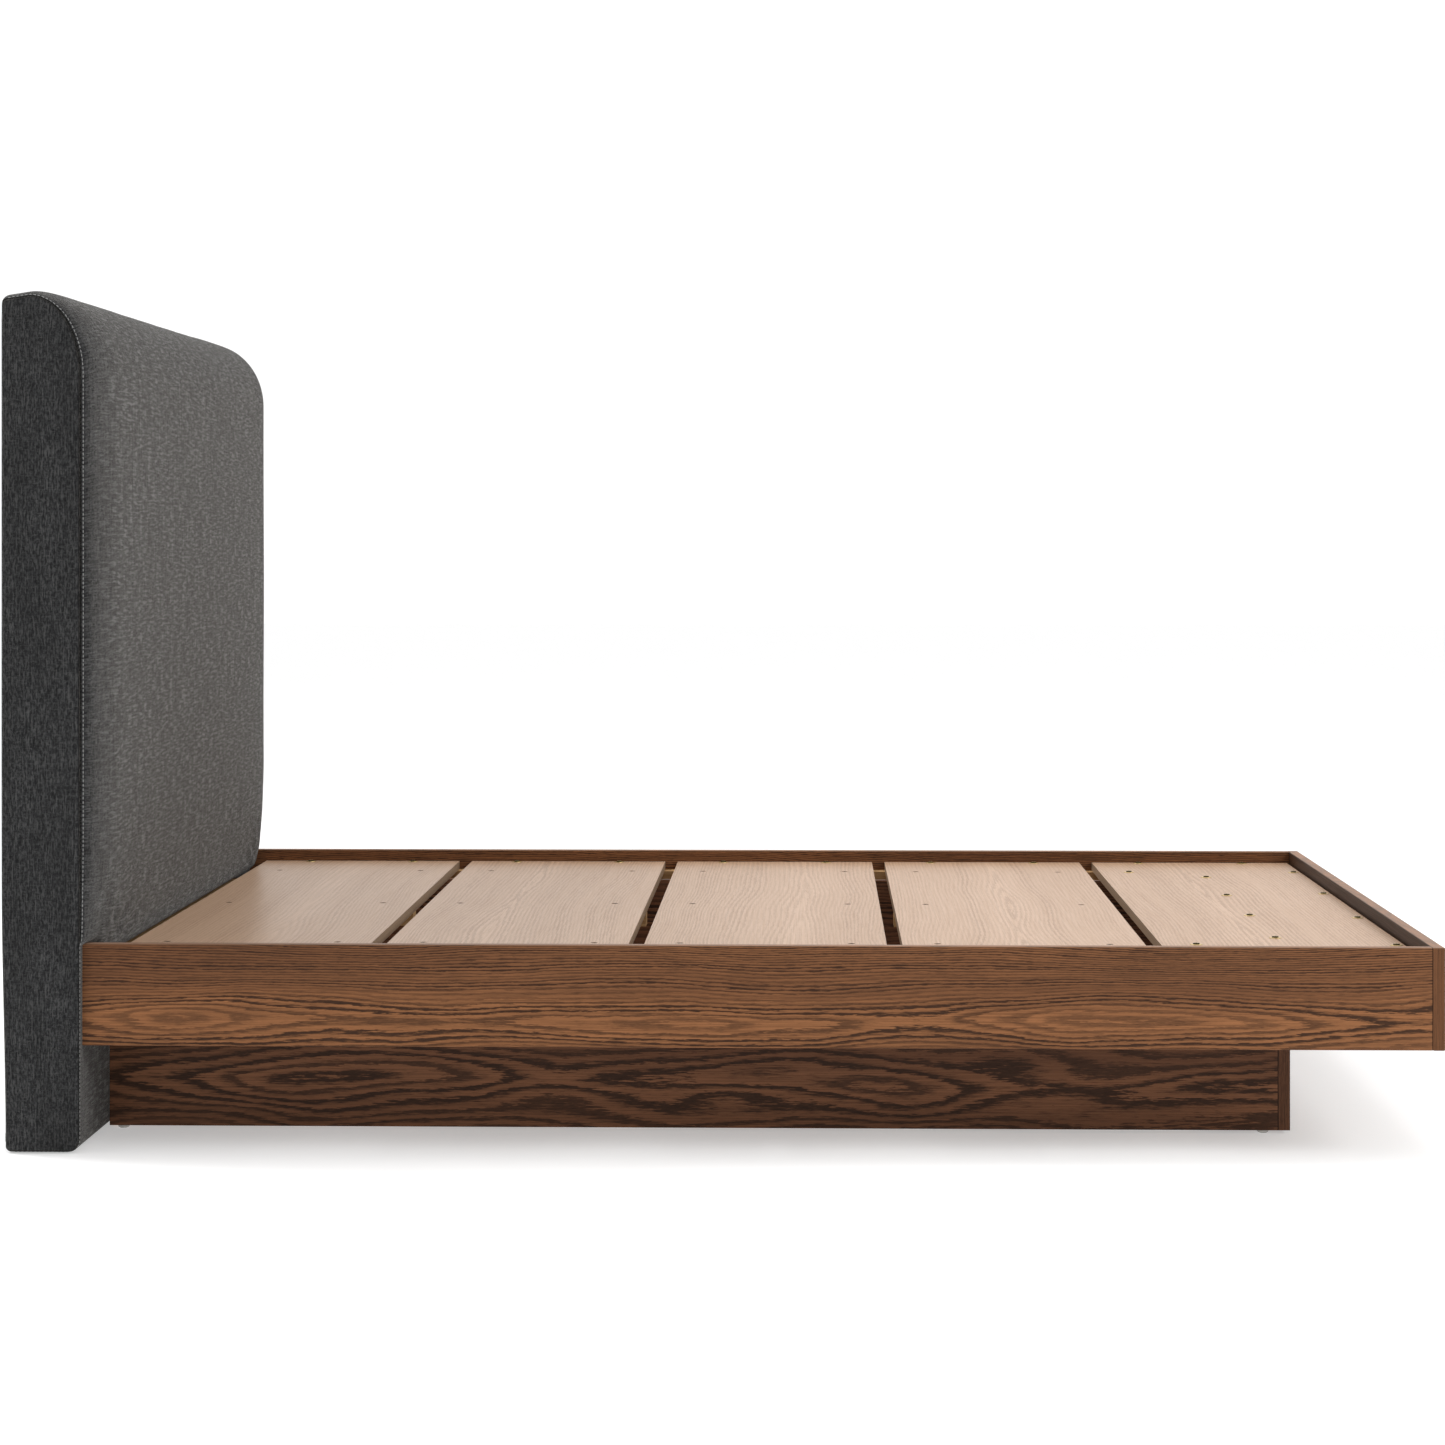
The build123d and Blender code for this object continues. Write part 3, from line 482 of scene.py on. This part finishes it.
# The screw heads' flange, under the dome, is painted dark as shade.
yellow_zinc = metal("yellow_zinc", (0.68, 0.52, 0.25), (0.40, 0.29, 0.12), 0.34,
                    shade_band=(deck_top + 0.0009, deck_top + 0.0032, (0.032, 0.024, 0.010)))
bright_zinc = metal("bright_zinc", (0.62, 0.61, 0.55), (0.50, 0.49, 0.40), 0.34)
black_oxide = metal("black_oxide", (0.030, 0.027, 0.024), (0.070, 0.060, 0.050), 0.50)
paint("wafer_head_screws", yellow_zinc)
for name in ("bracket_left", "bracket_right", "headboard_inserts", "leveller_inserts"):
    paint(name, bright_zinc)
for name in ("headboard_bolts", "leg_bolts", "bracket_screws", "countersunk_screws"):
    paint(name, black_oxide)
pad_top = low("plinth_side_left").z
grey_nylon = nylon("grey_nylon", (0.60, 0.59, 0.56), (0.28, 0.27, 0.25), pad_top)
for name in nodes:
    if name.startswith("levelling_foot"):
        paint(name, grey_nylon)
paint("headboard_glides", nylon("glide_nylon", (0.42, 0.41, 0.40), (0.20, 0.20, 0.19)))

MELANGE = (0.021, 0.022, 0.024), (0.036, 0.037, 0.039), (0.096, 0.096, 0.096)
charcoal = fabric("charcoal_melange", *MELANGE, sheen=0.25, long_yarn_and_sheen=0.0)
# The front's copy of the cloth is lighter on average than the sides': the yarn's shade with painted sheen.
charcoal_front_painted_sheen = fabric("charcoal_front_painted_sheen", *MELANGE, sheen=0.24, long_yarn_and_sheen=0.9)
black_lining = lining("black_lining")
grey_thread = thread("grey_thread")


# ---- the headboard's cloth ----
def ease(t):
    """0 to 1, level at both ends."""
    t = min(max(t, 0.0), 1.0)
    return t * t * (3 - 2 * t)


def crown_at(x, z):
    """How far the front cushion stands in front of the seam's plane, before its folds."""
    into = min(max((cushion_half - abs(x)) / CROWN_FADE, 0.0), 1.0)
    round_side = math.sqrt(max(1 - (1 - into) ** 2, 0.0))
    below = min(max((PULL_START - z) / (PULL_START - deck_top), 0.0), 1.0)
    drawn_in = 1 - (1 - PULL_AT_DECK) * below ** 1.7
    # The cushion ends on the deck, and on the rail's top near the sides.
    over_rail = ease((abs(x) - (rail_inner - 0.012)) / 0.008)
    foot = (deck_bottom + 0.003) * (1 - over_rail) + (rail_top + 0.0006) * over_rail
    rise = min(max((z - foot) / (0.015 - 0.007 * over_rail), 0.0), 1.0)
    return (crown_front - CLOTH_ROOM) * round_side * drawn_in * math.sqrt(max(1 - (1 - rise) ** 2, 0.0))


def crown_height(x):
    into = min(max((cushion_half - abs(x)) / CROWN_FADE_TOP, 0.0), 1.0)
    return crown_top * math.sqrt(max(1 - (1 - into) ** 2, 0.0))


def spread(start, end, step):
    count = max(1, round(abs(end - start) / step))
    return [start + (end - start) * i / count for i in range(count)]


def front_rows():
    """Places round the front cushion's side view, from the back's lower edge over the front to the top."""
    rows = [("wrap", a) for a in (0.0, 0.35, 0.7, 0.9)]
    rows += [("bottom", y) for y in spread(headboard_back - 0.002, seam_front + BOTTOM_RADIUS, 0.014)]
    rows += [("lower_edge", a) for a in spread(0.0, 1.0, 0.2)]
    straight_top = seam_top - CORNER_HEIGHT
    heights = (
        spread(headboard_bottom + BOTTOM_RADIUS, 0.27, 0.014)
        + spread(0.27, 0.36, 0.0035)
        + spread(0.36, 0.56, 0.007)
        + spread(0.56, straight_top, 0.013)
    )
    rows += [("front", z) for z in heights]
    rows += [("corner", a) for a in spread(0.0, 1.0, 1 / 24)]
    rows += [("top", a) for a in spread(0.0, 1.0, 0.25)]
    rows += [("back_edge", a) for a in spread(0.0, 1.0, 0.2)]
    rows += [("back", a) for a in (0.0, 0.5, 1.0)]
    return rows


def rearmost(x):
    """The cloth's back. Just past the frame's end it follows the side padding, which is drawn in."""
    return headboard_back - (BACK_TAPER + 0.004) * ease((abs(x) - frame_half - 0.003) / 0.007)


def row_place(row, x):
    """The (y, z) of one row at x."""
    kind, value = row
    if kind == "wrap":
        return rearmost(x) - 0.0006 * value, headboard_bottom + WRAP_HEIGHT * (1 - value)
    if kind == "bottom":
        return min(value, rearmost(x) - 0.002), headboard_bottom
    if kind == "lower_edge":
        angle = value * math.pi / 2
        return (seam_front + BOTTOM_RADIUS * (1 - math.sin(angle)),
                headboard_bottom + BOTTOM_RADIUS * (1 - math.cos(angle)))
    if kind == "front":
        return seam_front - crown_at(x, value), value
    grown, lifted = crown_at(x, 1.0), crown_height(x)
    centre_y, centre_z = seam_front + CORNER_DEPTH, seam_top - CORNER_HEIGHT + lifted
    if kind == "corner":
        angle = value * math.pi / 2
        return (centre_y - (CORNER_DEPTH + grown) * math.cos(angle),
                centre_z + CORNER_HEIGHT * math.sin(angle))
    top_z, back_start = seam_top + lifted, headboard_back - EDGE_RADIUS
    if kind == "top":
        return centre_y + (back_start - centre_y) * value, top_z - TOP_FALL * value
    # The crown's lift fades out down the back, where the cloth is stapled flat.
    angle = value * math.pi / 2
    if kind == "back_edge":
        return (back_start + EDGE_RADIUS * math.sin(angle),
                top_z - TOP_FALL - (EDGE_RADIUS + 0.5 * lifted) * (1 - math.cos(angle)))
    return headboard_back, top_z - 0.5 * lifted * (1 + value) - TOP_FALL - EDGE_RADIUS - 0.022 * value


def front_columns():
    """Places across the front cushion: close together at the side seams, wider in the middle."""
    turn = [0.0, 0.035, 0.075, 0.115, 0.155, 0.195, 0.26, 0.34, 0.44, 0.56, 0.70, 0.86, 1.02, 1.18, 1.34]
    full = cushion_half - CROWN_FADE
    side = [full + CROWN_FADE * math.cos(a) for a in turn]
    middle = spread(full + 0.010, -full - 0.010, 0.0125) + [-full - 0.010]
    return side + middle + [-x for x in reversed(side)]


# Each fold runs from one point to another on the front, as (x, z), with its width and height.
# They fan out from where the cushion meets the rail and the deck.
FOLDS = [
    ((0.752, 0.312), (0.706, 0.432), 0.013, 0.0048),
    ((0.728, 0.306), (0.640, 0.392), 0.014, 0.0038),
    ((0.700, 0.302), (0.560, 0.352), 0.012, 0.0042),
    ((0.776, 0.330), (0.770, 0.455), 0.010, 0.0030),
    ((0.640, 0.302), (0.470, 0.328), 0.010, 0.0026),
]


def fold_height(x, z, side_shift):
    """The height of the pull folds at a point. The two sides differ a little."""
    total = 0.0
    mirrored = abs(x)
    for index, (start, end, width, height) in enumerate(FOLDS):
        (x0, z0), (x1, z1) = start, end
        x0, x1 = x0 - side_shift * (0.5 + 0.3 * index), x1 - side_shift * (1.4 + 0.5 * index)
        run, rise = x1 - x0, z1 - z0
        length = math.hypot(run, rise)
        t = ((mirrored - x0) * run + (z - z0) * rise) / length ** 2
        if not -0.15 < t < 1.15:
            continue
        off = ((mirrored - x0) * rise - (z - z0) * run) / length
        w = width * (0.75 + 0.9 * max(t, 0))
        along = ease((t + 0.15) / 0.3) * ease((1.15 - t) / 0.9)
        total += height * along * (1.25 * math.exp(-(off / w) ** 2) - 0.6 * math.exp(-((off - 1.5 * w) / w) ** 2))
    return total


def soft_relief(x, z, from_seam, kind):
    """Small unevenness of a stuffed front and its pull folds, in metres along the outward normal."""
    broad = 0.0012 * noise.noise(Vector((x * 2.6, z * 2.2, 3.0))) + 0.0006 * noise.noise(Vector((x * 9, z * 4, 8.0)))
    folds = fold_height(x, z, 0.018 if x < 0 else 0.0) if kind == "front" else 0.0
    return (broad + folds) * ease(from_seam / 0.03)


def mesh_object(name, vertices, faces, shader, **maps):
    """A smooth mesh. Each map is a list of one (u, v) for each vertex."""
    mesh = bpy.data.meshes.new(name)
    mesh.from_pydata([tuple(v) for v in vertices], [], faces)
    mesh.validate()
    for map_name, uv in maps.items():
        layer = mesh.uv_layers.new(name=map_name)
        for loop in mesh.loops:
            layer.data[loop.index].uv = uv[loop.vertex_index]
    mesh.polygons.foreach_set("use_smooth", [True] * len(mesh.polygons))
    o = bpy.data.objects.new(name, mesh)
    scene.collection.objects.link(o)
    paint(o, shader)
    return o


def apply_modifiers(o):
    bpy.context.view_layer.update()
    made = bpy.data.meshes.new_from_object(o.evaluated_get(bpy.context.evaluated_depsgraph_get()))
    made.name = o.name
    o.modifiers.clear()
    o.data = made
    made.polygons.foreach_set("use_smooth", [True] * len(made.polygons))


def subdivide(o, levels=1):
    modifier = o.modifiers.new("smooth", "SUBSURF")
    modifier.levels = modifier.render_levels = levels
    modifier.boundary_smooth = "PRESERVE_CORNERS"
    apply_modifiers(o)


def grid_normals(points):
    """Outward normals of a grid of points, rows by columns."""
    down = np.gradient(points, axis=0)
    over = np.gradient(points, axis=1)
    normals = np.cross(over, down)
    return normals / np.maximum(np.linalg.norm(normals, axis=2, keepdims=True), 1e-9)


def grid_faces(rows, columns, offset=0, flip=False):
    faces = []
    for r in range(rows - 1):
        for c in range(columns - 1):
            a = offset + r * columns + c
            quad = (a, a + 1, a + columns + 1, a + columns)
            faces.append(quad[::-1] if flip else quad)
    return faces


def resample(line, count):
    """count points evenly along a polyline."""
    line = np.array(line)
    run = np.concatenate([[0], np.cumsum(np.linalg.norm(np.diff(line, axis=0), axis=1))])
    return np.stack([np.interp(np.linspace(0, run[-1], count), run, line[:, k]) for k in range(line.shape[1])], 1)


def stuffed(skin, held):
    """The skin blown up a little as cloth. held is 1 where it is sewn or stapled down, and less where
    the foam behind only gives way."""
    rows, columns, _ = skin.shape
    mesh = bpy.data.meshes.new("skin")
    mesh.from_pydata([tuple(p) for p in skin.reshape(-1, 3)], [], grid_faces(rows, columns, flip=True))
    o = bpy.data.objects.new("skin", mesh)
    scene.collection.objects.link(o)
    pinned = o.vertex_groups.new(name="held")
    for index, weight in enumerate(held.reshape(-1)):
        if weight > 0:
            pinned.add([index], float(weight), "REPLACE")
    cloth = o.modifiers.new("cloth", "CLOTH")
    settings = cloth.settings
    settings.quality = 5
    settings.mass = 0.25
    settings.tension_stiffness = settings.compression_stiffness = 15
    settings.shear_stiffness = 4
    settings.bending_stiffness = 2
    settings.vertex_group_mass = "held"
    settings.pin_stiffness = 1
    settings.use_pressure = True
    settings.uniform_pressure_force = 1
    settings.effector_weights.gravity = 0
    cloth.collision_settings.use_collision = False
    cloth.point_cache.frame_start, cloth.point_cache.frame_end = 1, CLOTH_FRAMES
    for number in range(1, CLOTH_FRAMES + 1):
        scene.frame_set(number)
    evaluated = o.evaluated_get(bpy.context.evaluated_depsgraph_get())
    result = np.array([tuple(v.co) for v in evaluated.data.vertices]).reshape(skin.shape)
    scene.frame_set(1)
    bpy.data.objects.remove(o)
    shift = result - skin
    size = np.linalg.norm(shift, axis=2, keepdims=True)
    return skin + shift * np.minimum(1, CLOTH_CAP / np.maximum(size, 1e-9))


def build_front_cushion():
    rows, columns = front_rows(), front_columns()
    count_rows, count_columns = len(rows), len(columns)
    skin = np.array([[(x, *row_place(row, x)) for x in columns] for row in rows])
    # The lift of the crown's top is spread over the front, so that the rows stay even.
    for r, (kind, value) in enumerate(rows):
        if kind == "front":
            share = ease((value - 0.6) / (seam_top - CORNER_HEIGHT - 0.6))
            for c, x in enumerate(columns):
                skin[r, c, 2] += crown_height(x) * share
    middle_row = next(r for r, row in enumerate(rows) if row[0] == "front" and row[1] > 0.8)
    across = np.concatenate([[0], np.cumsum(np.linalg.norm(np.diff(skin[middle_row], axis=0), axis=1))])
    along = np.concatenate([[0], np.cumsum(np.linalg.norm(np.diff(skin[:, count_columns // 2], axis=0), axis=1))])
    from_seam = np.minimum(across, across[-1] - across)

    normals = grid_normals(skin)
    if normals[middle_row, count_columns // 2, 1] > 0:
        normals = -normals
    held = np.zeros((count_rows, count_columns))
    for r, (kind, value) in enumerate(rows):
        free = kind in ("corner", "top") or (kind == "front" and value > rail_top + 0.004)
        for c, x in enumerate(columns):
            near_seam = ease((0.05 - from_seam[c]) / 0.04) * 0.6
            held[r, c] = 1.0 if not free or from_seam[c] < 0.011 else max(0.15, near_seam)
            loose = free or (kind == "front" and value > deck_top and abs(x) < rail_inner - 0.02)
            if loose:
                skin[r, c] += normals[r, c] * soft_relief(x, skin[r, c, 2], from_seam[c], kind)
    skin = stuffed(skin, held)

    # The side seam is a groove, and the row of top stitching beside it a shallow one.
    groove = SEAM_DEPTH * np.exp(-(from_seam / SEAM_WIDTH) ** 2)
    groove += 0.0009 * np.exp(-((from_seam - STITCH_INSET) / 0.0015) ** 2)
    skin = skin - normals * groove[None, :, None]
    for r in range(count_rows):
        for c in range(count_columns):
            gather = noise.noise(Vector((c * 0.35, along[r] * 150, 1.5))) * math.exp(-(from_seam[c] / 0.010) ** 2)
            skin[r, c] += normals[r, c] * 0.0002 * gather

    inner_line = resample(
        [(headboard_back - 0.0006, headboard_bottom + WRAP_HEIGHT), (headboard_back - 0.0006, headboard_bottom + 0.0018),
         (board_front - 0.0006, headboard_bottom + 0.0018),
         (board_front - 0.0006, board_top + 0.0006), (headboard_back - 0.0022, board_top + 0.0006)], count_rows)
    inner = np.array([[(x * 0.996, min(y, rearmost(x) - 0.0006) if z < WRAP_HEIGHT + 0.02 else y, z)
                       for x in columns] for y, z in inner_line])
    vertices = np.concatenate([skin.reshape(-1, 3), inner.reshape(-1, 3)])
    size = count_rows * count_columns
    faces = grid_faces(count_rows, count_columns, flip=True) + grid_faces(count_rows, count_columns, size)
    for r in range(count_rows - 1):
        a, b = r * count_columns, (r + 1) * count_columns
        faces.append((b, a, a + size, b + size))
        a, b = a + count_columns - 1, b + count_columns - 1
        faces.append((a, b, b + size, a + size))
    for c in range(count_columns - 1):
        faces.append((c, c + 1, c + 1 + size, c + size))
        a = (count_rows - 1) * count_columns + c
        faces.append((a + 1, a, a + size, a + 1 + size))
    # The front is wider than a roll of cloth, so the warp runs from side to side on it.
    uv = [(along[r], across[c]) for r in range(count_rows) for c in range(count_columns)] * 2
    seam = [(from_seam[c], 0.0) for r in range(count_rows) for c in range(count_columns)] * 2
    o = mesh_object("front_cushion", vertices, faces, charcoal_front_painted_sheen, cloth=uv, seam=seam)
    subdivide(o)
    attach(o, "bed")
    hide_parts("headboard_front_cover", "headboard_front_foam", "headboard_top_foam")
    return skin, normals, across


skin, skin_normals, skin_across = build_front_cushion()


def capsule(start, end, radius, sides=6):
    """A rounded stitch or staple leg between two points, as vertices and faces."""
    start, end = Vector(start), Vector(end)
    turn = (end - start).to_track_quat("Z", "X")
    length = (end - start).length
    vertices, faces = [tuple(start)], []
    rings = [(0.10, 0.62), (0.30, 1.0), (0.70, 1.0), (0.90, 0.62)]
    for part, wide in rings:
        for k in range(sides):
            angle = 2 * math.pi * k / sides
            local = Vector((radius * wide * math.cos(angle), radius * wide * math.sin(angle), length * part))
            vertices.append(tuple(start + turn @ local))
    vertices.append(tuple(end))
    last = len(vertices) - 1
    for k in range(sides):
        j = (k + 1) % sides
        faces.append((0, 1 + j, 1 + k))
        for ring in range(len(rings) - 1):
            a = 1 + ring * sides
            faces.append((a + k, a + j, a + sides + j, a + sides + k))
        a = 1 + (len(rings) - 1) * sides
        faces.append((a + k, a + j, last))
    return vertices, faces


def joined(name, pieces, shader):
    """Several small meshes as one object."""
    vertices, faces = [], []
    for some, sides in pieces:
        base = len(vertices)
        vertices += some
        faces += [tuple(i + base for i in face) for face in sides]
    return mesh_object(name, vertices, faces, shader)


def build_stitching(name, side):
    """A row of stitches in the front cushion, beside the side seam."""
    columns = skin_across if side < 0 else skin_across[-1] - skin_across[::-1]
    grid = skin if side < 0 else skin[:, ::-1]
    out = skin_normals if side < 0 else skin_normals[:, ::-1]
    if grid[0, 0, 0] * side < 0:
        grid, out = grid[:, ::-1], out[:, ::-1]
        columns = columns[-1] - columns[::-1]
    c = int(np.searchsorted(columns, STITCH_INSET)) - 1
    share = (STITCH_INSET - columns[c]) / (columns[c + 1] - columns[c])
    line = grid[:, c] * (1 - share) + grid[:, c + 1] * share
    line_out = out[:, c] * (1 - share) + out[:, c + 1] * share
    run = np.concatenate([[0], np.cumsum(np.linalg.norm(np.diff(line, axis=0), axis=1))])

    def at(distance, lift):
        point = np.array([np.interp(distance, run, line[:, k]) for k in range(3)])
        normal = np.array([np.interp(distance, run, line_out[:, k]) for k in range(3)])
        return point + normal * lift

    random.seed(5)
    stitches = []
    for number in range(3, int((run[-1] - 0.03) / STITCH_PITCH)):
        start = number * STITCH_PITCH + random.uniform(-0.0002, 0.0002)
        stitches.append(capsule(at(start, 0.0001), at(start + STITCH_LENGTH, 0.0003), THREAD))
    o = joined(name, stitches, grey_thread)
    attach(o, "bed")


for side_name, side in (("left", -1), ("right", 1)):
    build_stitching(f"top_stitching_{side_name}", side)


def taper(z):
    return BACK_TAPER * ease((BACK_TAPER_TOP - z) / BACK_TAPER_TOP)


def side_outline():
    """The side panel's edge in (y, z), from the lower back corner round the front and down the back."""
    points = [row_place(row, cushion_half) for row in front_rows()
              if not (row[0] == "wrap" or row[0] == "bottom" and row[1] > headboard_back - BACK_TAPER - 0.012)]
    for z in spread(points[-1][1] - 0.01, headboard_bottom + EDGE_RADIUS, 0.013):
        points.append((headboard_back - taper(z), z))
    for a in spread(0.0, 1.0, 0.2):
        angle = a * math.pi / 2
        points.append((headboard_back - BACK_TAPER - EDGE_RADIUS * (1 - math.cos(angle)),
                       headboard_bottom + EDGE_RADIUS * (1 - math.sin(angle))))
    return np.array(points)


# How far the side skin lies below or above its full face, against the distance in from its edge.
SIDE_STEPS = [(0.0, -0.0046), (0.0007, -0.0030), (0.0015, -0.0013), (0.0028, -0.0003), (0.0055, 0.0),
              (0.010, 0.0002), (0.018, 0.0005), (0.030, 0.0008), (0.044, 0.0009), (0.0596, 0.0009)]


def build_side_panel(name, side):
    outline = side_outline()
    count = len(outline)
    middle_y = (seam_front + headboard_back) / 2
    half_width = (headboard_back - seam_front) / 2
    spine = np.stack([np.full(count, middle_y),
                      np.clip(outline[:, 1], headboard_bottom + half_width, seam_top - 1.15 * half_width)], 1)
    on_back = (outline[:, 0] > headboard_back - BACK_TAPER - 0.001) & (outline[:, 1] < seam_top - LINING_TOP)
    rings = []
    # Behind the face: the cloth turns in at the seam, or goes round onto the back.
    behind_x = np.where(on_back, side_half - BACK_WRAP, cushion_half - 0.0052)
    rings.append([(side * x, y, z) for x, (y, z) in zip(behind_x, outline)])
    for inset, rise in SIDE_STEPS:
        ring = outline + (spine - outline) * (inset / half_width)
        points = []
        for index, (y, z) in enumerate(ring):
            wave = 0.0006 * noise.noise(Vector((y * 20, z * 6, 5.0 * side))) * ease(inset / 0.01)
            gather = noise.noise(Vector((index * 0.9, side * 3.0, 0))) * math.exp(-((inset - 0.004) / 0.004) ** 2)
            edge = max(rise, -0.0030) if on_back[index] else rise
            points.append((side * (side_half + edge + wave + 0.0005 * gather), y, z))
        rings.append(points)
    deep = outline + (spine - outline) * 0.5
    rings.append([(side * (side_foam_inner + 0.0006), y, z) for y, z in deep])
    order = [len(rings) - 1] + list(range(len(rings) - 1))
    vertices = [p for k in order for p in rings[k]]
    uv = [(p[1] + 3.0 + side, p[2]) for p in vertices]
    insets = [0.06, 0.0] + [inset for inset, _ in SIDE_STEPS]
    seam = [(0.01 if k > 1 and on_back[i] else insets[k], 0.0) for k in range(len(rings)) for i in range(count)]
    faces = []
    for k in range(len(rings) - 1):
        for i in range(count):
            j = (i + 1) % count
            faces.append((k * count + i, k * count + j, (k + 1) * count + j, (k + 1) * count + i))
    faces.append(tuple(range(count))[::-1])
    faces.append(tuple((len(rings) - 1) * count + i for i in range(count)))
    if side > 0:
        faces = [face[::-1] for face in faces]
    o = mesh_object(name, vertices, faces, charcoal, cloth=uv, seam=seam)
    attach(o, "bed")
    return o


for side_name, side in (("left", -1), ("right", 1)):
    panel = build_side_panel(f"side_cushion_{side_name}", side)
    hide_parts(f"headboard_side_cover_{side_name}", f"headboard_side_foam_{side_name}")



# ---- the back: a stapled lining ----
LINING_HALF = side_half - 0.011
lining_bottom, lining_top = headboard_bottom + 0.012, seam_top - LINING_TOP
LINING_THICK = 0.0005


def lining_y(x, z):
    """The lining lies on the frame's back, and slopes to the side cloth near its edges."""
    over_edge = ease((abs(x) - (side_half - 0.026)) / 0.010)
    wave = 0.0004 * noise.noise(Vector((x * 5, z * 5, 2.0))) + 0.0003 * noise.noise(Vector((x * 16, z * 3, 7.0)))
    inside = min(LINING_HALF - abs(x), z - lining_bottom, lining_top - z)
    hem = 0.0005 * ease((0.014 - inside) / 0.002)
    flat = headboard_back - 0.0011 + wave * ease(inside / 0.05) + hem
    return flat * (1 - over_edge) + (headboard_back + 0.0003 - taper(z) + hem) * over_edge


def build_lining():
    edge = [0.0, 0.006, 0.0118, 0.0125, 0.0132, 0.0140, 0.018, 0.026, 0.05]
    xs = [-LINING_HALF + e for e in edge] + spread(-LINING_HALF + 0.08, LINING_HALF - 0.08, 0.03)
    xs += [LINING_HALF - 0.08] + [LINING_HALF - e for e in reversed(edge)]
    zs = [lining_bottom + e for e in edge] + spread(lining_bottom + 0.08, lining_top - 0.08, 0.03)
    zs += [lining_top - 0.08] + [lining_top - e for e in reversed(edge)]
    points = [(x, lining_y(x, z), z) for z in zs for x in xs]
    uv = [(x, z) for z in zs for x in xs]
    o = mesh_object("back_lining", points, grid_faces(len(zs), len(xs), flip=True), black_lining, cloth=uv)
    thick = o.modifiers.new("thick", "SOLIDIFY")
    thick.thickness, thick.offset = LINING_THICK, -1
    apply_modifiers(o)
    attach(o, "bed")
    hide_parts("headboard_back_cover")


def build_staples():
    random.seed(11)
    places = []
    inset, step, half = 0.006, 0.042, 0.0055
    for x in spread(-LINING_HALF + 0.02, LINING_HALF, step):
        places += [((x, lining_bottom + inset), 0.0), ((x, lining_top - inset), 0.0)]
    for z in spread(lining_bottom + 0.03, lining_top, step):
        places += [((side * (LINING_HALF - inset), z), math.pi / 2) for side in (-1, 1)]
    pieces = []
    for (x, z), turn in places:
        angle = turn + random.uniform(-0.12, 0.12)
        dx, dz = half * math.cos(angle), half * math.sin(angle)
        y = lining_y(x, z) + 0.0004
        ends = [(x - dx, y, z - dz), (x + dx, y, z + dz)]
        pieces.append(capsule(ends[0], ends[1], 0.00055))
        for end in ends:
            pieces.append(capsule(end, (end[0], end[1] - 0.002, end[2]), 0.0005))
    o = joined("lining_staples", pieces, bright_zinc)
    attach(o, "bed")


build_lining()
build_staples()

# ---- light, floor and background ----
world = bpy.data.worlds.new("world")
world.use_nodes = True
sky = world.node_tree
direction = sky.nodes.new("ShaderNodeTexCoord")
parts = sky.nodes.new("ShaderNodeSeparateXYZ")
falloff = sky.nodes.new("ShaderNodeMapRange")
falloff.interpolation_type = "SMOOTHSTEP"
sky.links.new(direction.outputs["Generated"], parts.inputs[0])
sky.links.new(parts.outputs[0], falloff.inputs[0])
# The studio is white behind the bed and dimmer on the side that the camera is on.
for place, value in enumerate((-0.7, 0.35, 0.42, 1.08), start=1):
    falloff.inputs[place].default_value = value
sky.links.new(falloff.outputs[0], sky.nodes["Background"].inputs["Strength"])
sky.nodes["Background"].inputs["Color"].default_value = (1, 1, 1, 1)
scene.world = world
scene.view_settings.view_transform = "Standard"


def area_light(name, place, target, size, energy, colour=(1, 1, 1)):
    data = bpy.data.lights.new(name, "AREA")
    data.shape, data.size, data.energy, data.color = "DISK", size, energy, colour
    o = bpy.data.objects.new(name, data)
    o.location = place
    o.rotation_euler = (Vector(target) - Vector(place)).to_track_quat("-Z", "Y").to_euler()
    scene.collection.objects.link(o)


area_light("foot_side_light", (-2.4, -4.2, 2.8), (0, 0.3, 0.4), 2.4, 120)
area_light("head_side_light", (0.8, 4.4, 4.8), (0, -1.0, 0.3), 2.0, 185)
area_light("top_light", (0.5, -0.5, 4.2), (0, 0, 0.2), 3.0, 60)

bpy.ops.mesh.primitive_plane_add(size=60)
floor = bpy.context.object
floor.name = "floor"
floor_shader = Shader("pale_floor")
floor_grain = floor_shader.noise(floor_shader.place(), (3.0, 3.0, 3.0), 3.0)
floor_shader.set(Base_Color=floor_shader.mix(floor_grain, (0.74, 0.74, 0.74), (0.70, 0.70, 0.70)),
                 Roughness=0.9, Specular_IOR_Level=0.1, Emission_Color=(1, 1, 1), Emission_Strength=0.39)
paint(floor, floor_shader)
